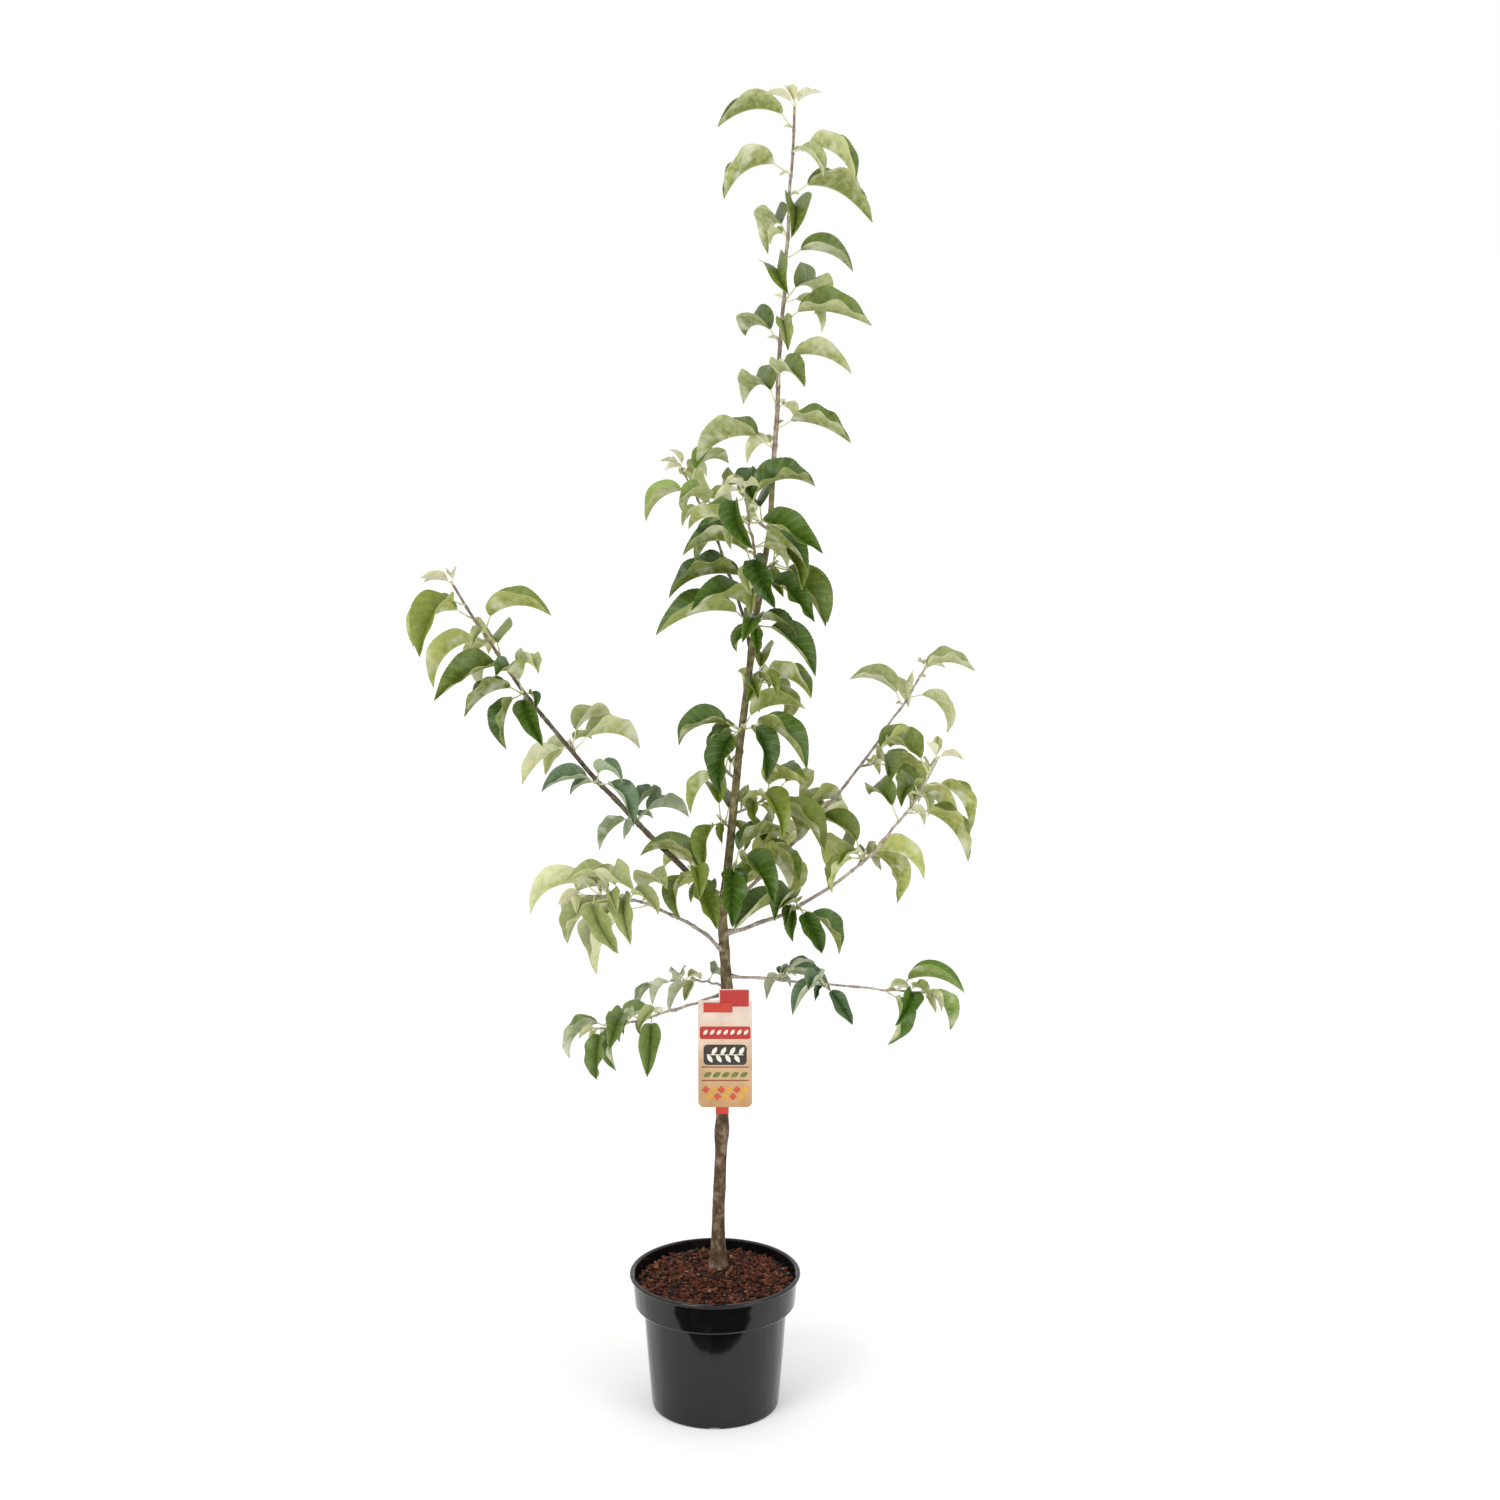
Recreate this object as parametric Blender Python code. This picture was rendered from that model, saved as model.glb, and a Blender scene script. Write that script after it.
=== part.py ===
"""A young apple tree in a black nursery pot: trunk, boughs, leafy shoots and spurs, potting mix and label.

Run with: blender --background --python part.py
Metres, +Z up. The origin is the middle of the pot's flat underside, and the label faces -Y.
Azimuths are degrees from +X towards +Y, and rises are degrees above level.
"""

import math
import random
from collections import namedtuple

import bmesh
import bpy
import numpy as np
from mathutils.bvhtree import BVHTree

# Pieces that meet keep this gap.
GAP = 0.0003

# The pot: a five-litre nursery container with a deep rolled band.
POT_HEIGHT = 0.173
LIP_RADIUS = 0.105
LIP_DEPTH = 0.005
BAND_TOP_RADIUS = 0.1010
BAND_FOOT_RADIUS = 0.0985
BAND_DEPTH = 0.040
LEDGE = 0.004
LIP_ROUND = 0.0015
BODY_TOP_RADIUS = 0.0880
BASE_RADIUS = 0.0785
BASE_CHAMFER = 0.003
WALL = 0.0018
FLOOR = 0.0030
POT_SIDES = 40
DRAIN_HOLES = 8
DRAIN_RADIUS = 0.0055
DRAIN_INSET = 0.010
DRAIN_SIDES = 8
POT_CREASE = 30.0

# The potting mix, heaped a little round the trunk, with a flat place for the trunk's foot.
MIX_BELOW_LIP = 0.013
HEAP = 0.009
HEAP_REACH = 0.055
FOOT_PLACE = 0.017
CRUMB = 0.0012
MIX_SIDES = 28
MIX_RINGS = 5
MIX_SEED = 5

# The trunk stands a little behind the middle of the pot.
FOOT_X = 0.0028
FOOT_Y = 0.022
# Each length of the trunk with its lean to the right and to the back, in degrees.
TRUNK_LENGTHS = (
    (0.080, 1.1, 0.6),
    (0.194, 2.4, 0.8),
    (0.083, 1.8, -1.2),
    (0.100, -3.3, -1.6),
    (0.044, 7.9, 0.8),
    (0.160, 5.6, 1.2),
    (0.163, 7.1, 0.4),
    (0.097, 8.9, -1.4),
    (0.065, 2.7, -0.6),
)
TRUNK_RING_STEP = 0.018
TRUNK_SIDES = 10
TRUNK_FOOT_RADIUS = 0.0083
TRUNK_TIP_RADIUS = 0.0031
TRUNK_TAPER = 0.8
FLARE = 0.0040
FLARE_HEIGHT = 0.022
FLARE_LOBES = 5
FLARE_LOBE_SHARE = 0.35
GRAFT_HEIGHT = 0.345
GRAFT_SWELL = 0.0021
GRAFT_SPREAD = 0.017
COLLAR_SWELL = 0.0009
COLLAR_SPREAD = 0.010
LUMP = 0.00035
LUMP_SEED = 11

# Limbs. The share that is bare is a bough, and a leafy shoot grows on from its tip. With no bare share,
# the shoot stands on the trunk, and the leader stands on the trunk's tip.
Limb = namedtuple("Limb", "height azimuth rise length bare foot_radius tip_radius")
LIMBS = {
    "left": Limb(0.632, (178, 206), (43, 60), 0.510, 0.74, 0.0046, 0.0018),
    "right_back": Limb(0.624, (25, 55), (36, 40), 0.425, 0.74, 0.0032, 0.0015),
    "right_front": Limb(0.598, (-18, 5), (16, 66), 0.350, 0.72, 0.0034, 0.0016),
    "front_left": Limb(0.575, (206, 218), (46, 8), 0.220, 0.55, 0.0030, 0.0015),
    "low_right": Limb(0.545, (-5, -22), (-5, 3), 0.246, 0.78, 0.0025, 0.0013),
    "low_left": Limb(0.524, (183, 232), (-22, 8), 0.180, 0.40, 0.0024, 0.0013),
    "upper_back": Limb(0.942, (122, 140), (65, 51), 0.245, 0.70, 0.0024, 0.0013),
    "low_back": Limb(0.530, (120, 135), (-5, -21), 0.160, 0.0, 0.0020, 0.0012),
    "upper_front": Limb(1.000, (270, 255), (39, 53), 0.205, 0.0, 0.0023, 0.0012),
    "leader": Limb(1.166, (0, 0), (86.6, 86.6), 0.410, 0.0, 0.0030, 0.0014),
}
LIMB_STEPS = 14
LIMB_SIDES = 7
LIMB_KINK = 0.0012
LIMB_SEED = 31
# A path steeper than this starts its frame from the Y axis and not from the Z axis.
STEEP = 0.6
BARK_CREASE = 50.0

# A leafy growth: how many leaves its twig carries, how long they are, the turn of the first one round the
# twig, and the seed for how its leaves vary.
Growth = namedtuple("Growth", "leaves leaf_length first_turn seed")
# A shoot carries on from the tip of its limb, and has leaves between two shares of its length.
Shoot = namedtuple("Shoot", "shares growth")
# A spur is a stub on a limb, at a share of its length, or on the trunk, at a height.
Spur = namedtuple("Spur", "on place azimuth length growth")
SHOOTS = {
    "leader_shoot": Shoot((0.03, 0.97), Growth(16, 0.088, 0, 1)),
    "left_shoot": Shoot((0.05, 0.88), Growth(6, 0.092, 90, 4)),
    "upper_front_shoot": Shoot((0.10, 1.00), Growth(9, 0.085, 0, 1)),
    "upper_back_shoot": Shoot((0.10, 1.00), Growth(5, 0.065, 90, 6)),
    "front_left_shoot": Shoot((0.10, 1.00), Growth(10, 0.085, 90, 1)),
    "low_right_shoot": Shoot((0.20, 1.00), Growth(4, 0.072, 90, 8)),
    "low_left_shoot": Shoot((0.10, 1.00), Growth(7, 0.062, 0, 4)),
    "low_back_shoot": Shoot((0.20, 1.00), Growth(5, 0.050, 0, 1)),
    "right_front_shoot": Shoot((0.05, 0.85), Growth(6, 0.080, 0, 8)),
    "right_back_shoot": Shoot((0.40, 0.90), Growth(4, 0.068, 0, 6)),
}
SPURS = {
    "left_spur_1": Spur("left", 0.28, 90, 0.015, Growth(3, 0.060, 0, 1)),
    "left_spur_2": Spur("left", 0.41, 270, 0.020, Growth(3, 0.062, 0, 4)),
    "left_spur_3": Spur("left", 0.50, 90, 0.025, Growth(4, 0.075, 0, 1)),
    "left_spur_4": Spur("left", 0.69, 270, 0.015, Growth(4, 0.070, 0, 3)),
    "low_right_spur_1": Spur("low_right", 0.25, 90, 0.015, Growth(3, 0.050, 0, 1)),
    "low_right_spur_2": Spur("low_right", 0.48, 270, 0.015, Growth(3, 0.055, 0, 3)),
    "right_back_spur_1": Spur("right_back", 0.33, 120, 0.020, Growth(4, 0.080, 0, 1)),
    "right_back_spur_2": Spur("right_back", 0.60, 320, 0.025, Growth(4, 0.080, 0, 4)),
    "right_front_spur_1": Spur("right_front", 0.28, 270, 0.020, Growth(4, 0.075, 0, 1)),
    "right_front_spur_2": Spur("right_front", 0.54, 90, 0.025, Growth(4, 0.085, 0, 8)),
    "trunk_spur_1": Spur("trunk", 0.645, 220, 0.070, Growth(5, 0.075, 0, 1)),
    "trunk_spur_2": Spur("trunk", 0.668, 20, 0.060, Growth(4, 0.080, 0, 4)),
    "trunk_spur_3": Spur("trunk", 0.672, 285, 0.040, Growth(4, 0.085, 0, 8)),
    "trunk_spur_4": Spur("trunk", 0.727, 160, 0.020, Growth(3, 0.075, 0, 1)),
    "trunk_spur_5": Spur("trunk", 0.745, 0, 0.060, Growth(5, 0.080, 0, 3)),
    "trunk_spur_6": Spur("trunk", 0.787, 160, 0.020, Growth(3, 0.065, 0, 3)),
    "trunk_spur_7": Spur("trunk", 0.842, 270, 0.025, Growth(5, 0.085, 0, 8)),
    "trunk_spur_8": Spur("trunk", 0.896, 30, 0.020, Growth(4, 0.080, 0, 4)),
    "trunk_spur_9": Spur("trunk", 0.968, 270, 0.020, Growth(3, 0.095, 0, 1)),
    "trunk_spur_10": Spur("trunk", 1.040, 320, 0.020, Growth(4, 0.090, 0, 3)),
    "trunk_spur_11": Spur("trunk", 1.085, 180, 0.020, Growth(3, 0.095, 0, 1)),
}

# Every leaf follows one shape: a petiole, then a blade folded along its midrib that nods and arches over.
LEAF_WIDTH_SHARE = 0.64
LEAF_THICKNESS_SHARE = 0.012
PETIOLE_SHARE = 0.28
PETIOLE_RADIUS = 0.0009
ROOT_SHARE = 0.7
PETIOLE_NOD = 24.0
BLADE_STATIONS = (0.10, 0.32, 0.64, 0.88)
BLADE_SHOULDER = 0.75
BLADE_FULLNESS = 0.9
BLADE_TAPER = 0.22
# The blade bends most past its middle: its least bend, what its middle adds, and where that ends.
ARC_STEPS = 12
ARC_BEND = 0.55
ARC_MORE_BEND = 0.9
ARC_END = 0.91
FOLD = 57.0
DROOP = 72.0
LEAF_TURN = 140.0
LEAF_SPREAD = 54.0
LOWEST_RISE = -12.0
HIGHEST_RISE = 64.0
TURN_SPREAD = 40.0
LEAN_SPREAD = 12.0
SIZE_SPREAD = 0.16
DROOP_SPREAD = 24.0
ROLL_SPREAD = 30.0
SWEEP_SPREAD = 24.0
SHOOT_SHRINK = 0.18
SPUR_SHRINK = 0.15
SPUR_SHARES = (0.45, 1.0)
YOUNG_LEAVES = 3
YOUNG_SHARE = 0.36
YOUNG_TURN_SPREAD = 90.0
YOUNG_LEAN = (14.0, 42.0)
YOUNG_DROOP = (8.0, 40.0)
YOUNG_SETBACK = 0.002
# A leaf that would come this near to anything else is turned, or else left out.
LEAF_CLEARANCE = 0.0010
TRY_TURNS = ((0, 0), (12, 4), (-12, 4), (24, -6), (-24, -6), (38, 8), (-38, 8))

# Points nearer than this are merged after a Boolean.
MERGE = 0.000002
TWIG_SIDES = 4
SPUR_STEPS = 4
SPUR_LEAN = 62.0
SPUR_CURL = 0.08
SPUR_FOOT_RADIUS = 0.0017
SPUR_TIP_RADIUS = 0.0012

# The label: a card on a strap that passes through two slots near its top, with the strap's tail behind it.
CARD_WIDTH = 0.0655
CARD_HEIGHT = 0.136
CARD_THICKNESS = 0.0006
CARD_CORNER = 0.007
CARD_CORNER_STEPS = 4
CARD_LEFT = 0.0345
CARD_AHEAD = 0.0115
TAB_WIDTH = 0.040
TAB_INSET = 0.003
TAB_TALL = 0.014
STRAP_HEIGHT = 0.511
STRAP_TALL = 0.012
STRAP_THICKNESS = 0.0006
STRAP_SLACK = 0.0011
STRAP_INSET = 0.008
STRAP_SHOWN = 0.033
STRAP_STEPS = 14
STRAP_WRAP = 20.0
SLOT_DROP = 0.003
SLOT_WIDTH = 0.004
SLOT_REACH = 0.002
SHARPEST_MITRE = 0.5
TAIL_INSET = 0.021
TAIL_WIDTH = 0.016
TAIL_SHOWN = 0.009


def mix(low, high, share):
    return low + (high - low) * share


def unit(vector):
    return vector / np.linalg.norm(vector)


def direction(azimuth, rise):
    turn, lift = math.radians(azimuth), math.radians(rise)
    return np.array((math.cos(lift) * math.cos(turn), math.cos(lift) * math.sin(turn), math.sin(lift)))


def turned(vector, axis, angle):
    """The vector turned about a unit axis, by an angle in radians."""
    c, s = math.cos(angle), math.sin(angle)
    return vector * c + np.cross(axis, vector) * s + axis * (vector @ axis) * (1 - c)


def circle(sides, radius, z):
    """A level ring of points round the Z axis."""
    angles = [2 * math.pi * k / sides for k in range(sides)]
    return [np.array((radius * math.cos(a), radius * math.sin(a), z)) for a in angles]


def new_object(name, bm, material=None):
    """An object from a bmesh, with its faces pointing out."""
    bmesh.ops.recalc_face_normals(bm, faces=bm.faces[:])
    mesh = bpy.data.meshes.new(name)
    bm.to_mesh(mesh)
    bm.free()
    obj = bpy.data.objects.new(name, mesh)
    bpy.context.scene.collection.objects.link(obj)
    if material:
        mesh.materials.append(material)
    return obj


def skin(rings, tip=None):
    """A closed bmesh over rings of equal counts, capped at its first ring and at its last ring or tip.

    A skin with a tip is a leaf. Its faces are split from its margins, so that its top and underside bend alike
    and don't pass through each other.
    """
    bm = bmesh.new()
    rows = [[bm.verts.new(point) for point in ring] for ring in rings]
    sides = len(rows[0])
    for row, following in zip(rows, rows[1:]):
        for k in range(sides):
            j = (k + 1) % sides
            if tip is None:
                bm.faces.new((row[k], row[j], following[j], following[k]))
            elif k % 2:
                bm.faces.new((row[k], row[j], following[k]))
                bm.faces.new((row[j], following[j], following[k]))
            else:
                bm.faces.new((row[k], row[j], following[j]))
                bm.faces.new((row[k], following[j], following[k]))
    bm.faces.new(rows[0][::-1])
    if tip is None:
        bm.faces.new(rows[-1])
    else:
        point = bm.verts.new(tip)
        for k in range(sides):
            bm.faces.new((rows[-1][k], rows[-1][(k + 1) % sides], point))
    return bm


def smooth(obj, angle):
    obj.data.shade_smooth()
    obj.data.set_sharp_from_angle(angle=math.radians(angle))


def paint(name, colour, roughness):
    """A Principled material of one colour."""
    material = bpy.data.materials.new(name)
    material.use_nodes = True
    shader = material.node_tree.nodes["Principled BSDF"]
    shader.inputs["Base Color"].default_value = (*colour, 1.0)
    shader.inputs["Roughness"].default_value = roughness
    shader.inputs["Metallic"].default_value = 0.0
    return material


def applied(obj):
    """Bakes the object's modifiers into its mesh."""
    bpy.context.view_layer.update()
    evaluated = obj.evaluated_get(bpy.context.evaluated_depsgraph_get())
    mesh = bpy.data.meshes.new_from_object(evaluated)
    obj.modifiers.clear()
    obj.data = mesh
    return obj


def sound(obj):
    """Whether the object's mesh, with coincident points merged, is one closed body."""
    bm = bmesh.new()
    bm.from_mesh(obj.data)
    bmesh.ops.remove_doubles(bm, verts=bm.verts[:], dist=MERGE)
    bmesh.ops.dissolve_degenerate(bm, edges=bm.edges[:], dist=MERGE)
    closed = all(len(edge.link_faces) == 2 for edge in bm.edges)
    unseen = set(bm.verts)
    front = [unseen.pop()]
    while front:
        for edge in front.pop().link_edges:
            for vert in edge.verts:
                if vert in unseen:
                    unseen.remove(vert)
                    front.append(vert)
    whole = closed and not unseen
    if whole:
        bm.to_mesh(obj.data)
    bm.free()
    return whole


def combined(obj, operation, other):
    """Applies a Boolean with an object or a collection, by a second solver where the first leaves a flaw."""
    start = obj.data
    for solver in ("EXACT", "MANIFOLD"):
        obj.data = start
        modifier = obj.modifiers.new(operation.lower(), "BOOLEAN")
        modifier.operation = operation
        modifier.solver = solver
        if isinstance(other, bpy.types.Collection):
            modifier.operand_type = "COLLECTION"
            modifier.collection = other
        else:
            modifier.object = other
        applied(obj)
        if sound(obj):
            return obj
    print("flaw left in", obj.name)
    return obj


def cut(obj, cutter):
    """Takes the cutter's volume out of the object, and removes the cutter."""
    combined(obj, "DIFFERENCE", cutter)
    bpy.data.objects.remove(cutter)
    return obj


def fused(obj, pieces):
    """Joins the pieces to the object by one union, and removes them."""
    group = bpy.data.collections.new(obj.name + "_pieces")
    bpy.context.scene.collection.children.link(group)
    for piece in pieces:
        bpy.context.scene.collection.objects.unlink(piece)
        group.objects.link(piece)
    combined(obj, "UNION", group)
    for piece in pieces:
        bpy.data.objects.remove(piece)
    bpy.data.collections.remove(group)
    return obj


def frames(points):
    """The tangent, side and up vectors at each point of a path, carried along it without twist."""
    rows = []
    side = None
    for i in range(len(points)):
        tangent = unit(points[min(i + 1, len(points) - 1)] - points[max(i - 1, 0)])
        if side is None:
            reference = np.array((0.0, 1.0, 0.0) if abs(tangent[2]) > STEEP else (0.0, 0.0, 1.0))
            side = unit(np.cross(tangent, reference))
        else:
            side = unit(side - tangent * (side @ tangent))
        rows.append((tangent, side, np.cross(tangent, side)))
    return rows


def tube_rings(points, radii, sides):
    rings = []
    for point, radius, (_, side, up) in zip(points, radii, frames(points)):
        angles = [2 * math.pi * k / sides for k in range(sides)]
        rings.append([point + (side * math.cos(a) + up * math.sin(a)) * radius for a in angles])
    return rings


def bent_path(start, azimuth, rise, length, steps):
    """Points along a limb whose azimuth and rise, each a (foot, tip) pair, change evenly."""
    points = [np.array(start, float)]
    for step in range(steps):
        share = (step + 0.5) / steps
        heading = direction(mix(*azimuth, share), mix(*rise, share))
        points.append(points[-1] + heading * (length / steps))
    return np.array(points)


def at_share(points, share):
    """The point and the three frame vectors at a share of a path's length."""
    rows = frames(points)
    place = share * (len(points) - 1)
    i = min(int(place), len(points) - 2)
    point = mix(points[i], points[i + 1], place - i)
    tangent = unit(mix(rows[i][0], rows[i + 1][0], place - i))
    side = unit(rows[i][1] - tangent * (rows[i][1] @ tangent))
    return point, tangent, side, np.cross(tangent, side)


def trunk_path():
    """Points up the trunk's middle, from the top of the potting mix to its tip."""
    points = [np.array((FOOT_X, FOOT_Y, mix_top() + GAP))]
    for length, right, back in TRUNK_LENGTHS:
        steps = max(1, round(length / TRUNK_RING_STEP))
        heading = unit(np.array((math.tan(math.radians(right)), math.tan(math.radians(back)), 1.0)))
        for _ in range(steps):
            points.append(points[-1] + heading * (length / steps / heading[2]))
    return np.array(points)


def mix_top():
    return POT_HEIGHT - MIX_BELOW_LIP + HEAP


def trunk_radius(z, foot, top):
    """The trunk's radius at a height: its taper, the graft's swelling and a collar under each limb."""
    share = (z - foot) / (top - foot)
    radius = mix(TRUNK_FOOT_RADIUS, TRUNK_TIP_RADIUS, share ** TRUNK_TAPER)
    radius += GRAFT_SWELL * math.exp(-((z - GRAFT_HEIGHT) / GRAFT_SPREAD) ** 2)
    for limb in LIMBS.values():
        radius += COLLAR_SWELL * math.exp(-((z - limb.height) / COLLAR_SPREAD) ** 2) * (limb.height < top)
    return radius


def trunk_rings(points, extra=0.0):
    """Rings up the trunk, flared in lobes at its foot and a little lumpy."""
    rng = random.Random(LUMP_SEED)
    foot, top = points[0][2], points[-1][2]
    rings = []
    for point in points:
        radius = trunk_radius(point[2], foot, top)
        flare = FLARE * math.exp(-(point[2] - foot) / FLARE_HEIGHT)
        phase = rng.uniform(0, 2 * math.pi)
        ring = []
        for k in range(TRUNK_SIDES):
            angle = 2 * math.pi * k / TRUNK_SIDES
            lobes = 1 + FLARE_LOBE_SHARE * math.cos(FLARE_LOBES * angle)
            reach = radius + flare * lobes + LUMP * math.cos(2 * angle + phase) + extra
            ring.append(point + np.array((math.cos(angle), math.sin(angle), 0.0)) * reach)
        rings.append(ring)
    return rings


def trunk_point(points, z):
    return np.array([np.interp(z, points[:, 2], points[:, axis]) for axis in range(3)])


def limb_path(name, trunk):
    """Points along a whole limb, with a slight kink at each joint of its growth."""
    limb = LIMBS[name]
    rng = random.Random(LIMB_SEED + len(name))
    if limb.height >= trunk[-1][2]:
        start = trunk[-1] + unit(trunk[-1] - trunk[-2]) * GAP
    else:
        start = trunk_point(trunk, limb.height)
    points = bent_path(start, limb.azimuth, limb.rise, limb.length, LIMB_STEPS)
    for point in points[1:]:
        point += np.array([rng.uniform(-LIMB_KINK, LIMB_KINK) for _ in range(3)])
    return points


def limb_radii(name, count):
    limb = LIMBS[name]
    return [mix(limb.foot_radius, limb.tip_radius, i / (count - 1)) for i in range(count)]


def split_at(points, radii, share):
    """The part of a path up to a share of its length and the part after it, with their radii."""
    place = share * (len(points) - 1)
    i = int(place)
    point = mix(points[i], points[i + 1], place - i)
    radius = mix(radii[i], radii[i + 1], place - i)
    before = (np.vstack((points[:i + 1], [point])), list(radii[:i + 1]) + [radius])
    start = point + unit(points[i + 1] - points[i]) * GAP
    after = (np.vstack(([start], points[i + 1:])), [radius] + list(radii[i + 1:]))
    return before, after


def spur_path(spur, carrier):
    """Points along a spur's stub, which leans out from its carrier and curls up a little."""
    if spur.on == "trunk":
        share = np.interp(spur.place, carrier[:, 2], np.linspace(0, 1, len(carrier)))
    else:
        share = spur.place
    base, tangent, _, _ = at_share(carrier, share)
    aim = direction(spur.azimuth, 0)
    out = unit(aim - tangent * (aim @ tangent))
    heading = out * math.sin(math.radians(SPUR_LEAN)) + tangent * math.cos(math.radians(SPUR_LEAN))
    points = [base]
    for _ in range(SPUR_STEPS):
        points.append(points[-1] + heading * (spur.length / SPUR_STEPS))
        heading = unit(heading + np.array((0.0, 0.0, SPUR_CURL)))
    return np.array(points)


def blade_width(u):
    """The half-width of a leaf at a share of its length, as a share of its widest half."""
    return math.sin(math.pi * u ** BLADE_SHOULDER) ** BLADE_FULLNESS * (1 - BLADE_TAPER * u ** 3)


def midrib(leaf):
    """The point, tangent, side and normal at even steps along a leaf's blade."""
    tangent = direction(leaf["azimuth"], leaf["rise"])
    turn = math.radians(leaf["azimuth"])
    side = turned(np.array((-math.sin(turn), math.cos(turn), 0.0)), tangent, math.radians(leaf["roll"]))
    normal = np.cross(tangent, side)
    point = leaf["root"] + tangent * (leaf["length"] * PETIOLE_SHARE)
    tangent = turned(tangent, side, math.radians(PETIOLE_NOD))
    normal = turned(normal, side, math.radians(PETIOLE_NOD))
    rows = [(point, tangent, side, normal)]
    for i in range(ARC_STEPS):
        u = (i + 0.5) / ARC_STEPS
        more = ARC_MORE_BEND * math.sin(math.pi * min(1.0, u / ARC_END)) ** 0.5
        bend = math.radians(leaf["droop"]) / ARC_STEPS * (ARC_BEND + more)
        tangent, normal = turned(tangent, side, bend), turned(normal, side, bend)
        yaw = math.radians(leaf["sweep"]) / ARC_STEPS
        tangent, side = turned(tangent, normal, yaw), turned(side, normal, yaw)
        point = point + tangent * (leaf["length"] / ARC_STEPS)
        rows.append((point, tangent, side, normal))
    return rows


def leaf_rings(leaf, extra=0.0):
    """The leaf's tip, and rings of left margin, ridge, right margin and underside from the petiole's root on."""
    rows = midrib(leaf)
    half_width = leaf["length"] * LEAF_WIDTH_SHARE / 2
    thick = leaf["length"] * LEAF_THICKNESS_SHARE
    fold = math.radians(FOLD)
    _, _, side, normal = rows[0]
    petiole = [arm * PETIOLE_RADIUS for arm in (side, normal, -side, -normal)]
    rings = [[leaf["root"] + arm * ROOT_SHARE for arm in petiole], [rows[0][0] + arm for arm in petiole]]
    for u in BLADE_STATIONS:
        i = int(u * ARC_STEPS)
        share = u * ARC_STEPS - i
        point, _, side, normal = (mix(rows[i][k], rows[i + 1][k], share) for k in range(4))
        reach = half_width * blade_width(u) + extra
        spread = side * (reach * math.cos(fold))
        lift = normal * (reach * math.sin(fold))
        rings.append([point + spread + lift, point + normal * extra, point - spread + lift,
                      point - normal * (thick + extra)])
    return rings, rows[-1][0]


def leaves_along(points, growth, shares, shrink):
    """The leaves of a growth, which follow a spiral round its twig and vary by its seed."""
    rng = random.Random(growth.seed)
    leaves = []
    for i in range(growth.leaves):
        part = (i + 0.5) / growth.leaves
        point, tangent, side, up = at_share(points, mix(*shares, part))
        angle = math.radians(growth.first_turn + i * LEAF_TURN + rng.uniform(-TURN_SPREAD, TURN_SPREAD))
        lean = math.radians(LEAF_SPREAD + rng.uniform(-LEAN_SPREAD, LEAN_SPREAD))
        out = tangent * math.cos(lean) + (side * math.cos(angle) + up * math.sin(angle)) * math.sin(lean)
        size = 1 + rng.uniform(-SIZE_SPREAD, SIZE_SPREAD)
        leaves.append({
            "root": point,
            "azimuth": math.degrees(math.atan2(out[1], out[0])),
            "rise": min(max(math.degrees(math.asin(out[2])), LOWEST_RISE), HIGHEST_RISE),
            "length": growth.leaf_length * (1 - shrink * part ** 2) * size,
            "droop": DROOP + rng.uniform(-DROOP_SPREAD, DROOP_SPREAD),
            "roll": rng.uniform(-ROLL_SPREAD, ROLL_SPREAD),
            "sweep": rng.uniform(-SWEEP_SPREAD, SWEEP_SPREAD),
        })
    return leaves


def young_leaves(points, growth):
    """Small, nearly straight leaves that stand round a shoot's bud."""
    rng = random.Random(growth.seed)
    point, tangent, side, up = at_share(points, 1.0)
    leaves = []
    for i in range(YOUNG_LEAVES):
        angle = math.radians(i * LEAF_TURN + rng.uniform(0, YOUNG_TURN_SPREAD))
        lean = math.radians(rng.uniform(*YOUNG_LEAN))
        out = tangent * math.cos(lean) + (side * math.cos(angle) + up * math.sin(angle)) * math.sin(lean)
        leaves.append({
            "root": point - tangent * YOUNG_SETBACK,
            "azimuth": math.degrees(math.atan2(out[1], out[0])),
            "rise": math.degrees(math.asin(out[2])),
            "length": growth.leaf_length * YOUNG_SHARE,
            "droop": rng.uniform(*YOUNG_DROOP),
            "roll": rng.uniform(-ROLL_SPREAD, ROLL_SPREAD),
            "sweep": 0.0,
        })
    return leaves


def tree_of(rings, tip=None):
    """A search tree over a skin of rings, to test what it touches."""
    bm = skin(rings, tip)
    tree = BVHTree.FromBMesh(bm)
    bm.free()
    return tree


def settled(leaf, obstacles, own):
    """The leaf, turned aside where it would touch something, with trees of all of it and of its blade."""
    for turn, lift in TRY_TURNS:
        trial = dict(leaf, azimuth=leaf["azimuth"] + turn, rise=leaf["rise"] + lift)
        rings, tip = leaf_rings(trial, LEAF_CLEARANCE)
        whole, blade = tree_of(rings, tip), tree_of(rings[1:], tip)
        if any(whole.overlap(tree) for tree in obstacles) or any(blade.overlap(tree) for tree in own):
            continue
        return trial, whole, blade
    return None


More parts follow.
